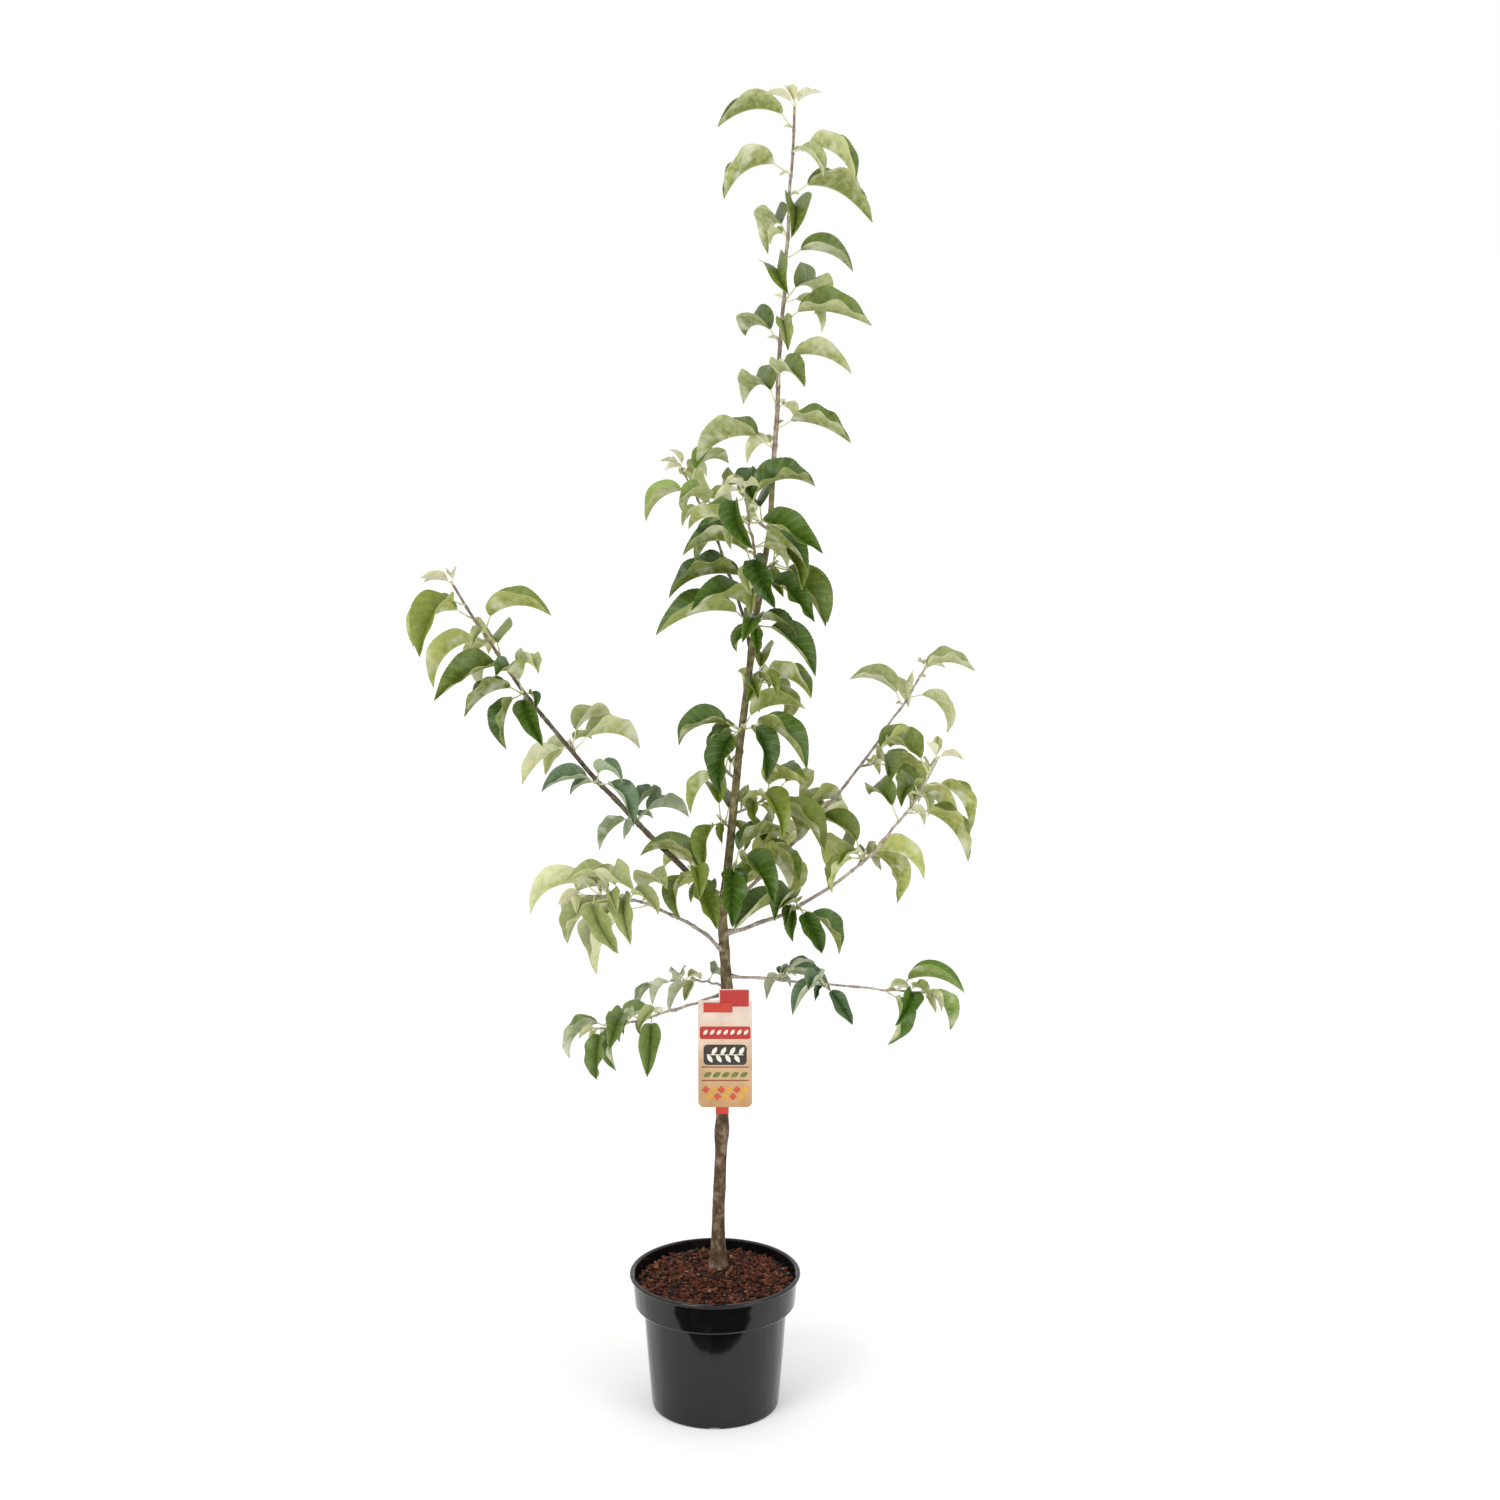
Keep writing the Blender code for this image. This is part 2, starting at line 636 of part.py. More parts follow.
def make_pot():
    band_top = POT_HEIGHT - LIP_DEPTH
    band_foot = POT_HEIGHT - BAND_DEPTH
    profile = (
        (BASE_RADIUS - BASE_CHAMFER, 0.0),
        (BASE_RADIUS, BASE_CHAMFER),
        (BODY_TOP_RADIUS, band_foot - LEDGE),
        (BAND_FOOT_RADIUS, band_foot),
        (BAND_TOP_RADIUS, band_top - LIP_ROUND),
        (LIP_RADIUS - LIP_ROUND, band_top),
        (LIP_RADIUS, band_top + LIP_ROUND),
        (LIP_RADIUS, POT_HEIGHT - LIP_ROUND),
        (LIP_RADIUS - LIP_ROUND, POT_HEIGHT),
        (BAND_TOP_RADIUS, POT_HEIGHT),
        (BAND_TOP_RADIUS - WALL, POT_HEIGHT - LIP_ROUND),
        (BAND_FOOT_RADIUS - WALL, band_foot + WALL),
        (BODY_TOP_RADIUS - WALL, band_foot - LEDGE + WALL),
        (BASE_RADIUS - WALL, FLOOR),
    )
    black = paint("black_plastic", (0.012, 0.012, 0.013), 0.3)
    pot = new_object("pot", skin([circle(POT_SIDES, r, z) for r, z in profile]), black)
    for k in range(DRAIN_HOLES):
        heading = direction(360 * (k + 0.5) / DRAIN_HOLES, 0)
        middle = heading * (BASE_RADIUS - DRAIN_INSET)
        rings = [circle(DRAIN_SIDES, DRAIN_RADIUS, z) for z in (-FLOOR, 2 * FLOOR)]
        cut(pot, new_object("drain_hole", skin([[middle + point for point in ring] for ring in rings])))
    smooth(pot, POT_CREASE)
    return pot


def pot_inner_radius(z):
    """The radius of the pot's inside at a height."""
    band_foot = POT_HEIGHT - BAND_DEPTH
    heights = (FLOOR, band_foot - LEDGE + WALL, band_foot + WALL, POT_HEIGHT)
    radii = (BASE_RADIUS, BODY_TOP_RADIUS, BAND_FOOT_RADIUS, BAND_TOP_RADIUS)
    return np.interp(z, heights, radii) - WALL


def make_potting_mix():
    """The mix fills the pot to below its lip, with a crumbly top that is heaped round the trunk's foot."""
    rng = random.Random(MIX_SEED)
    surface = POT_HEIGHT - MIX_BELOW_LIP
    band_foot = POT_HEIGHT - BAND_DEPTH
    rings = []
    for z in (FLOOR + GAP, band_foot - LEDGE + WALL, band_foot + WALL, surface):
        rings.append(circle(MIX_SIDES, pot_inner_radius(z) - GAP, z))
    outer = pot_inner_radius(surface) - GAP
    for i in range(1, MIX_RINGS):
        radius = mix(outer, FOOT_PLACE, i / MIX_RINGS)
        heap = HEAP * math.exp(-(max(0.0, radius - FOOT_PLACE) / HEAP_REACH) ** 2)
        ring = []
        for point in circle(MIX_SIDES, radius, surface + heap):
            ring.append(point + np.array((0.0, 0.0, rng.uniform(-CRUMB, CRUMB))))
        rings.append(ring)
    rings.append(circle(MIX_SIDES, FOOT_PLACE, mix_top()))
    for i, ring in enumerate(rings[3:]):
        slide = np.array((FOOT_X, FOOT_Y, 0.0)) * (i / MIX_RINGS)
        rings[3 + i] = [point + slide for point in ring]
    bark = paint("bark_chips", (0.12, 0.045, 0.02), 0.9)
    return new_object("potting_mix", skin(rings), bark)


def make_trunk(points, bark):
    trunk = new_object("trunk", skin(trunk_rings(points)), bark)
    smooth(trunk, BARK_CREASE)
    return trunk


def trunk_cutter(points):
    return new_object("trunk_room", skin(trunk_rings(points, GAP)))


def tube(name, points, radii, sides, material=None):
    return new_object(name, skin(tube_rings(points, radii, sides)), material)


def rounded_plate(left, right, bottom, top, corner, tab):
    """The outline of a hanging card with round lower corners and a tab on its top edge."""
    corners = []
    for x, turn in ((left + corner, 180), (right - corner, 270)):
        for k in range(CARD_CORNER_STEPS + 1):
            point = direction(turn + 90 * k / CARD_CORNER_STEPS, 0) * corner
            corners.append((x + point[0], bottom + corner + point[1]))
    tab_left, tab_right, tab_top = tab
    tab_points = [(tab_right, top), (tab_right, tab_top), (tab_left, tab_top), (tab_left, top)]
    return corners + [(right, top)] + tab_points + [(left, top)]


def upright_plate(outline, front, back):
    """A closed bmesh of an outline in X and Z, from one Y to another."""
    return skin([[np.array((x, y, z)) for x, z in outline] for y in (front, back)])


def make_label(trunk, red, cream):
    """A card that hangs on a strap round the trunk, with the strap's tail behind it."""
    anchor = trunk_point(trunk, STRAP_HEIGHT)
    left = anchor[0] - CARD_LEFT
    right = left + CARD_WIDTH
    top = STRAP_HEIGHT + STRAP_TALL / 2
    bottom = top - CARD_HEIGHT
    front = FOOT_Y - CARD_AHEAD
    tab = (right - TAB_WIDTH, right - TAB_INSET, top + TAB_TALL)
    outline = rounded_plate(left, right, bottom, top, CARD_CORNER, tab)
    card = new_object("label_card", upright_plate(outline, front, front + CARD_THICKNESS), cream)
    slot_low = STRAP_HEIGHT - STRAP_TALL / 2 - SLOT_DROP - GAP
    slot_high = slot_low + STRAP_TALL + 2 * GAP
    strap_left, strap_right = left + STRAP_INSET, left + STRAP_INSET + STRAP_SHOWN
    for x in (strap_left, strap_right):
        low, high = x - SLOT_WIDTH / 2, x + SLOT_WIDTH / 2
        room = [(low, slot_low), (high, slot_low), (high, slot_high), (low, slot_high)]
        cut(card, new_object("slot", upright_plate(room, front - SLOT_REACH, front + SLOT_REACH)))

    radius = trunk_radius(STRAP_HEIGHT, trunk[0][2], trunk[-1][2]) + STRAP_SLACK
    run = front - GAP - STRAP_THICKNESS
    inner = [(strap_left, run + STRAP_THICKNESS), (strap_right, run + STRAP_THICKNESS)]
    for k in range(STRAP_STEPS + 1):
        point = anchor + direction(mix(-STRAP_WRAP, 180 + STRAP_WRAP, k / STRAP_STEPS), 0) * radius
        inner.append((point[0], point[1]))
    outer = offset_loop(inner, STRAP_THICKNESS)
    strap = new_object("label_strap", band(inner, outer, slot_low + GAP, slot_high - GAP), red)

    low, high = left + TAIL_INSET, left + TAIL_INSET + TAIL_WIDTH
    tail_top, tail_foot = slot_low - GAP, bottom - TAIL_SHOWN
    strip = [(low, tail_foot), (high, tail_foot), (high, tail_top), (low, tail_top)]
    behind = front + CARD_THICKNESS + GAP
    tail = new_object("label_tail", upright_plate(strip, behind, behind + STRAP_THICKNESS), red)
    return card, strap, tail


def offset_loop(loop, distance):
    """A convex loop, which runs anticlockwise, moved outwards."""
    moved = []
    for i, point in enumerate(loop):
        before, after = np.array(loop[i - 1]), np.array(loop[(i + 1) % len(loop)])
        first, second = unit(np.array(point) - before), unit(after - np.array(point))
        normal = unit(np.array((first[1] + second[1], -first[0] - second[0])))
        stretch = 1 / max(SHARPEST_MITRE, normal @ np.array((first[1], -first[0])))
        moved.append(tuple(np.array(point) + normal * distance * stretch))
    return moved


def band(inner, outer, low, high):
    """A closed bmesh of an upright ribbon between two loops."""
    bm = bmesh.new()
    rows = [[bm.verts.new((x, y, z)) for x, y in loop] for loop, z in
            ((inner, low), (outer, low), (outer, high), (inner, high))]
    count = len(inner)
    for row, following in zip(rows, rows[1:] + rows[:1]):
        for k in range(count):
            j = (k + 1) % count
            bm.faces.new((row[k], row[j], following[j], following[k]))
    return bm


def grow(name, points, radii, leaves, obstacles, material):
    """A mass: its twig with each leaf that clears everything else, fused into one body."""
    pieces = []
    wholes = []
    blades = []
    for leaf in leaves:
        found = settled(leaf, obstacles, blades)
        if found is None:
            continue
        kept, whole, blade = found
        wholes.append(whole)
        blades.append(blade)
        pieces.append(new_object("leaf", skin(*leaf_rings(kept))))
    twig = tube(name, points, radii, TWIG_SIDES, material)
    fused(twig, pieces)
    return twig, wholes


def make_boughs(trunk, bark):
    """The bare boughs. Returns each limb's whole path, the trees of the boughs and the paths of the shoots."""
    limbs = {}
    boughs = []
    shoots = {}
    for name, limb in LIMBS.items():
        points = limb_path(name, trunk)
        radii = limb_radii(name, len(points))
        limbs[name] = (points, radii)
        on_tip = limb.height >= trunk[-1][2]
        carrier = None if on_tip or limb.bare else "trunk"
        if limb.bare:
            (points, radii), after = split_at(points, radii, limb.bare)
            bough = tube(name + "_bough", points, radii, LIMB_SIDES, bark)
            cut(bough, trunk_cutter(trunk))
            smooth(bough, BARK_CREASE)
            boughs.append(tree_of(tube_rings(points, radii, LIMB_SIDES)))
            points, radii = after
        shoots[name + "_shoot"] = (points, radii, carrier)
    return limbs, boughs, shoots


def spur_stubs(trunk, limbs):
    """The path, the radii and the carrier of each spur's stub."""
    stubs = {}
    for name, spur in SPURS.items():
        points = spur_path(spur, trunk if spur.on == "trunk" else limbs[spur.on][0])
        radii = [mix(SPUR_FOOT_RADIUS, SPUR_TIP_RADIUS, i / SPUR_STEPS) for i in range(SPUR_STEPS + 1)]
        stubs[name] = (points, radii, spur.on)
    return stubs


def leaves_of(name, points):
    """The leaves of a shoot or of a spur."""
    if name in SPURS:
        return leaves_along(points, SPURS[name].growth, SPUR_SHARES, SPUR_SHRINK)
    shares, growth = SHOOTS[name]
    return leaves_along(points, growth, shares, SHOOT_SHRINK) + young_leaves(points, growth)


def make_masses(trunk, limbs, obstacles, paths, foliage):
    """Each shoot and spur as one body, cut back a little where it stands on its carrier."""
    twigs = {}
    for name, (points, radii, _) in paths.items():
        twigs[name] = tree_of(tube_rings(points, radii, TWIG_SIDES))
    placed = []
    for name, (points, radii, carrier) in paths.items():
        others = obstacles + placed + [tree for other, tree in twigs.items() if other != name]
        mass, wholes = grow(name, points, radii, leaves_of(name, points), others, foliage)
        placed += wholes
        if carrier == "trunk":
            cut(mass, trunk_cutter(trunk))
        elif carrier:
            limb_points, radii_there = limbs[carrier]
            cut(mass, tube("limb_room", limb_points, [r + GAP for r in radii_there], LIMB_SIDES))


def main():
    for obj in list(bpy.data.objects):
        bpy.data.objects.remove(obj)

    bark = paint("bark", (0.20, 0.15, 0.11), 0.85)
    foliage = paint("foliage", (0.11, 0.20, 0.03), 0.5)
    red = paint("red_card", (0.55, 0.02, 0.02), 0.4)
    cream = paint("cream_card", (0.75, 0.62, 0.50), 0.4)

    make_pot()
    make_potting_mix()
    trunk = trunk_path()
    make_trunk(trunk, bark)
    label = make_label(trunk, red, cream)
    limbs, boughs, shoots = make_boughs(trunk, bark)

    obstacles = [tree_of(trunk_rings(trunk))] + boughs
    for piece in label:
        corners = [vertex.co for vertex in piece.data.vertices]
        obstacles.append(BVHTree.FromPolygons(corners, [face.vertices for face in piece.data.polygons]))
    make_masses(trunk, limbs, obstacles, {**shoots, **spur_stubs(trunk, limbs)}, foliage)


main()
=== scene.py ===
import math
import random
from collections import namedtuple

import bmesh
import bpy
import numpy as np
from mathutils.bvhtree import BVHTree
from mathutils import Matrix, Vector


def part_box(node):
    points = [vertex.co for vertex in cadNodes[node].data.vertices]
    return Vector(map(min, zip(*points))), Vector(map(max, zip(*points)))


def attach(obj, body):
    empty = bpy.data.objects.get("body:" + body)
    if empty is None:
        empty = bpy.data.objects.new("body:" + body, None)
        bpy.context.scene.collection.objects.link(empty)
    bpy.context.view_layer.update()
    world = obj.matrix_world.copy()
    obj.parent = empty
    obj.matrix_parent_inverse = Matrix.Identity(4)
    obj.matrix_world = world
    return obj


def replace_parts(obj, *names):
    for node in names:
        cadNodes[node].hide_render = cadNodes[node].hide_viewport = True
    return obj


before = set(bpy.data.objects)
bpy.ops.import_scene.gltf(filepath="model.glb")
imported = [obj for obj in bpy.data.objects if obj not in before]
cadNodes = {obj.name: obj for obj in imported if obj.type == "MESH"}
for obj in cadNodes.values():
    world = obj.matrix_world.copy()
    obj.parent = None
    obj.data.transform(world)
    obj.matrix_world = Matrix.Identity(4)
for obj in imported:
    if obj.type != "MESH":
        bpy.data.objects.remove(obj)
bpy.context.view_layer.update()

seam = 0.0003  # the gap that the solids keep between them. Lengths are metres, but where a name says mm


def linear(hexColour):
    channels = [int(hexColour[i:i + 2], 16) / 255 for i in (1, 3, 5)]
    return tuple(c / 12.92 if c <= 0.04045 else ((c + 0.055) / 1.055) ** 2.4 for c in channels) + (1.0,)


def plugIn(material, node, inputs):
    # an input is a plain value, or another node's output to link
    for name, value in inputs.items():
        if isinstance(value, bpy.types.NodeSocket):
            material.node_tree.links.new(value, node.inputs[name])
        else:
            node.inputs[name].default_value = value


def addNode(material, kind, inputs=None, give=0, stops=(), **settings):
    # adds a node with its settings and links, and gives back one of its outputs
    node = material.node_tree.nodes.new("ShaderNode" + kind)
    for name, value in settings.items():
        setattr(node, name, value)
    plugIn(material, node, inputs or {})
    for k, (place, colour) in enumerate(stops):
        stop = node.color_ramp.elements[k] if k < 2 else node.color_ramp.elements.new(place)
        stop.position = place
        stop.color = linear(colour)
    return node.outputs[give]


def newMaterial(name):
    # a material, and the place of each point on its object, in metres
    material = bpy.data.materials.new(name)
    material.use_nodes = True
    return material, addNode(material, "TexCoord", give="Object")


def finish(material, inputs):
    plugIn(material, material.node_tree.nodes["Principled BSDF"], inputs)
    return material


colourMix = {"give": 2, "data_type": "RGBA"}
darken = {"give": 2, "data_type": "RGBA", "blend_type": "MULTIPLY"}


def blend(low, high, share):
    return low + (high - low) * share


def unit(vector):
    return vector / np.linalg.norm(vector)


def heading(azimuth, rise):
    turn, lift = math.radians(azimuth), math.radians(rise)
    return np.array((math.cos(lift) * math.cos(turn), math.cos(lift) * math.sin(turn), math.sin(lift)))


def eitherWay(rng, reach):
    return rng.uniform(-reach, reach)


def turned(vector, axis, angle):
    c, s = math.cos(angle), math.sin(angle)
    return vector * c + np.cross(axis, vector) * s + axis * (vector @ axis) * (1 - c)


def framesOf(points):
    # tangent, side and up at each point, carried along without twist
    rows = []
    side = None
    for i in range(len(points)):
        tangent = unit(points[min(i + 1, len(points) - 1)] - points[max(i - 1, 0)])
        if side is None:
            steep = abs(tangent[2]) > 0.6
            side = unit(np.cross(tangent, np.array((0.0, 1.0, 0.0) if steep else (0.0, 0.0, 1.0))))
        else:
            side = unit(side - tangent * (side @ tangent))
        rows.append((tangent, side, np.cross(tangent, side)))
    return rows


def tubeRings(points, radii, sides):
    rings = []
    for point, radius, (_, side, up) in zip(points, radii, framesOf(points)):
        angles = [math.tau * k / sides for k in range(sides)]
        rings.append([point + (side * math.cos(a) + up * math.sin(a)) * radius for a in angles])
    return rings


def atShare(points, share):
    # point, tangent, side and up at a share of a path
    rows = framesOf(points)
    place = share * (len(points) - 1)
    i = min(int(place), len(points) - 2)
    point = blend(points[i], points[i + 1], place - i)
    tangent = unit(blend(rows[i][0], rows[i + 1][0], place - i))
    side = unit(rows[i][1] - tangent * (rows[i][1] @ tangent))
    return point, tangent, side, np.cross(tangent, side)


def curveThrough(points, count):
    # an even smooth curve through the points
    points = np.asarray(points, float)
    padded = np.vstack((2 * points[0] - points[1], points, 2 * points[-1] - points[-2]))
    place = np.linspace(0, len(points) - 1, count)
    i = np.minimum(place.astype(int), len(points) - 2)
    f = (place - i)[:, None]
    a, b, c, d = (padded[i + k] for k in range(4))
    square = (2 * a - 5 * b + 4 * c - d) * f ** 2
    return 0.5 * (2 * b + (c - a) * f + square + (3 * b - a - 3 * c + d) * f ** 3)


def searchTree(rings, tip=None):
    # tests what a skin over rings touches; a skin with a tip is a leaf, split from its margins as its solid is
    bm = bmesh.new()
    rows = [[bm.verts.new(point) for point in ring] for ring in rings]
    sides = len(rows[0])
    for row, following in zip(rows, rows[1:]):
        for k in range(sides):
            j = (k + 1) % sides
            a, b, c, d = row[k], row[j], following[j], following[k]
            if tip is None:
                bm.faces.new((a, b, c, d))
            elif k % 2:
                bm.faces.new((a, b, d))
                bm.faces.new((b, c, d))
            else:
                bm.faces.new((a, b, c))
                bm.faces.new((a, c, d))
    bm.faces.new(rows[0][::-1])
    if tip is None:
        bm.faces.new(rows[-1])
    else:
        point = bm.verts.new(tip)
        for k in range(sides):
            bm.faces.new((rows[-1][k], rows[-1][(k + 1) % sides], point))
    tree = BVHTree.FromBMesh(bm)
    bm.free()
    return tree


def newBatch():
    # pieces to be joined: points, faces with the number of their finish, and two values for each point
    return {"points": [], "faces": [], "finish": [], "uv": [], "tint": [], "count": 0}


def addPiece(batch, points, faces, finishes=0, uv=None, tint=0.5):
    start = batch["count"]
    points = np.asarray(points, float).reshape(-1, 3)
    batch["points"].append(points)
    batch["uv"].append(np.zeros((len(points), 2)) if uv is None else uv)
    batch["tint"].append(np.full(len(points), tint))
    batch["faces"] += [[start + k for k in face] for face in faces]
    batch["finish"] += [finishes] * len(faces) if isinstance(finishes, int) else finishes
    batch["count"] += len(points)


def addRings(batch, rings, finish=0, tint=0.5):
    # a skin over rings of points, closed at both ends
    rows, sides = len(rings), len(rings[0])
    faces = [tuple(range(sides))[::-1], tuple((rows - 1) * sides + k for k in range(sides))]
    for i in range(rows - 1):
        for k in range(sides):
            j = (k + 1) % sides
            faces.append((i * sides + k, i * sides + j, (i + 1) * sides + j, (i + 1) * sides + k))
    addPiece(batch, rings, faces, finish, None, tint)
    return batch


def anglesRound(count):
    return np.linspace(0, math.tau, count + 1)[:-1]


def circle(radius, z, around):
    angles = anglesRound(around)
    return np.column_stack((radius * np.cos(angles), radius * np.sin(angles), np.full(around, z)))


def meshObject(name, points, faces, materials=()):
    mesh = bpy.data.meshes.new(name)
    mesh.from_pydata(points, [], faces)
    for material in materials:
        mesh.materials.append(material)
    piece = bpy.data.objects.new(name, mesh)
    bpy.context.scene.collection.objects.link(piece)
    return piece


def makeObject(name, batch, materials, creaseDegrees):
    piece = meshObject(name, np.vstack(batch["points"]), batch["faces"], materials)
    mesh = piece.data
    mesh.polygons.foreach_set("material_index", batch["finish"])
    corners = np.empty(len(mesh.loops), np.int32)
    mesh.loops.foreach_get("vertex_index", corners)
    layer = mesh.uv_layers.new(name="UVMap")
    layer.data.foreach_set("uv", np.vstack(batch["uv"])[corners].ravel())
    tint = mesh.attributes.new("tint", "FLOAT", "POINT")
    tint.data.foreach_set("value", np.concatenate(batch["tint"]))
    mesh.shade_smooth()
    mesh.set_sharp_from_angle(angle=math.radians(creaseDegrees))
    mesh.update()
    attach(piece, "root")
    return piece


# The pot is a blown container of black polypropylene with a deep band under its lip
potSize = {
    "height": 0.173, "lipRadius": 0.105, "lipDepth": 0.005, "bandTopRadius": 0.1010, "bandFootRadius": 0.0985,
    "bandDepth": 0.040, "ledge": 0.004, "bodyTopRadius": 0.0880, "baseRadius": 0.0785, "baseChamfer": 0.003,
    "wall": 0.0018, "floor": 0.0030, "lipRound": 0.0015, "bandRound": 0.0012, "around": 192,
    # rings of the underside: how far in from the base's radius, and how high
    "footRings": ((0.0314, 0.0012), (0.012, 0.0012), (0.008, 0.0), (0.0022, 0.0), (0.0007, 0.0009),
                  (0.0, 0.003)),
    # rings of the ledge: how far out from the body, and the share of the ledge's height below the band
    "ledgeRings": ((0.0, 1.0), (0.0012, 0.9), (0.0050, 0.55), (0.0093, 0.12), (0.0105, -0.3)),
    "wallRings": (0.2, 1, 2, 3, 4, 5, 6, 7, 8, 9, 10, 11, 11.8), "wallSteps": 12, "lipSteps": 8,
    "bandRings": (0.04, 0.1, 0.3, 0.5, 0.7, 0.9, 0.96, 1.0), "insideRing": 0.155,
    "belly": 0.0004, "sway": 0.0003, "swayPhase": 0.7, "swayClear": 0.01, "creaseDegrees": 35.0,
    "notches": 4, "notchDegrees": 11.0, "notchHeight": 0.0026, "notchShares": (1.0, 1.0, 0.7),
    "drains": 8, "drainRadius": 0.0055, "drainInset": 0.012, "drainSides": 24, "drainCut": (-0.003, 0.006),
}


def blackPolypropylene():
    # moulded, black right through and glossy: it mirrors the room, softened by faint waves from its cooling
    m, place = newMaterial("blackPolypropylene")
    upright = addNode(m, "Mapping", {"Vector": place, "Scale": (1.0, 1.0, 0.22)})
    waves = addNode(m, "TexNoise", {"Vector": upright, "Scale": 1000 / 26, "Detail": 1.5})  # 26 mm apart
    patches = addNode(m, "TexNoise", {"Vector": place, "Scale": 1000 / 30, "Detail": 4.0})  # dust, 30 mm wide
    dust = addNode(m, "MapRange", {"Value": patches, "From Min": 0.52, "From Max": 0.8, "To Max": 0.3})
    scuffs = addNode(m, "TexNoise", {"Vector": place, "Scale": 1000 / 1.5, "Detail": 4.0})  # 1.5 mm long
    return finish(m, {
        "Base Color": addNode(m, "Mix", {0: dust, 6: linear("#0e0d0e"), 7: linear("#302c2b")}, **colourMix),
        "Roughness": addNode(m, "MapRange", {"Value": scuffs, "From Min": 0.3, "From Max": 0.7,
                                             "To Min": 0.06, "To Max": 0.13}),
        "IOR": 1.45,
        "Normal": addNode(m, "Bump", {"Height": waves, "Distance": 0.0024, "Strength": 0.6}),
    })


def potInside(z):
    s = potSize
    bandFoot = s["height"] - s["bandDepth"]
    heights = (s["floor"], bandFoot - s["ledge"] + s["wall"], bandFoot + s["wall"], s["height"])
    radii = [s[key] for key in ("baseRadius", "bodyTopRadius", "bandFootRadius", "bandTopRadius")]
    return np.interp(z, heights, radii) - s["wall"]


def potProfile():
    # radius and height of each ring, from under the base up the outside, over the lip and down the inside
    s = potSize
    bandTop, bandFoot = s["height"] - s["lipDepth"], s["height"] - s["bandDepth"]
    bodyTop = bandFoot - s["ledge"]
    profile = [(s["baseRadius"] - inset, z) for inset, z in s["footRings"]]
    for k in s["wallRings"]:  # the wall bellies out by a hair
        share = k / s["wallSteps"]
        radius = blend(s["baseRadius"], s["bodyTopRadius"], share) + s["belly"] * math.sin(math.pi * share)
        profile.append((radius, blend(s["baseChamfer"], bodyTop, share)))
    profile += [(s["bodyTopRadius"] + out, bandFoot - s["ledge"] * down) for out, down in s["ledgeRings"]]
    low, high = bandFoot + s["bandRound"], bandTop - s["lipRound"]
    band = (s["bandFootRadius"], s["bandTopRadius"])
    profile += [(blend(*band, k), blend(low, high, k)) for k in s["bandRings"]]
    reach = s["lipDepth"] / 2
    for k in range(s["lipSteps"] + 1):  # the rolled lip
        angle = math.radians(-90 + 180 * k / s["lipSteps"])
        radius = s["lipRadius"] - reach + reach * math.cos(angle)
        profile.append((radius, bandTop + reach + reach * math.sin(angle)))
    profile.append((s["bandTopRadius"], s["height"]))
    inside = [s["height"] - s["lipRound"], s["insideRing"], bandFoot + s["wall"], bodyTop + s["wall"]]
    return profile + [(potInside(z), z) for z in inside + [s["floor"]]], bandTop


def makePot():
    s = potSize
    profile, bandTop = potProfile()
    angles = anglesRound(s["around"])
    rings = []
    for radius, z in profile:
        swaying = s["swayClear"] < z < bandTop - s["swayClear"]
        sway = s["sway"] * np.sin(2 * angles + s["swayPhase"]) * (z / s["height"]) * swaying
        rings.append(circle(radius + sway, z, s["around"]))
    gap = math.tau / s["notches"]
    fromNotch = np.abs((angles + gap / 2) % gap - gap / 2)
    for ring, share in zip(rings[2:], s["notchShares"]):  # notches lift the foot of the wall to let water out
        ring[:, 2] += s["notchHeight"] * share * (fromNotch < math.radians(s["notchDegrees"]) / 2)
    rings[1][:, 2] = np.maximum(rings[1][:, 2], rings[2][:, 2])
    shell = addRings(newBatch(), rings)
    pot = makeObject("potShell", shell, [blackPolypropylene()], s["creaseDegrees"])
    drains = newBatch()
    for k in range(s["drains"]):
        middle = heading(360 * (k + 0.5) / s["drains"], 0) * (s["baseRadius"] - s["drainInset"])
        addRings(drains, [circle(s["drainRadius"], z, s["drainSides"]) + middle for z in s["drainCut"]])
    cutter = meshObject("drainCutters", np.vstack(drains["points"]), drains["faces"])
    cut = pot.modifiers.new("drains", "BOOLEAN")
    cut.operation = "DIFFERENCE"
    cut.object = cutter
    bpy.context.view_layer.update()
    pot.data = bpy.data.meshes.new_from_object(pot.evaluated_get(bpy.context.evaluated_depsgraph_get()))
    pot.modifiers.clear()
    bpy.data.objects.remove(cutter)
    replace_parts(pot, "pot")
    print("pot made,", len(pot.data.polygons), "faces")


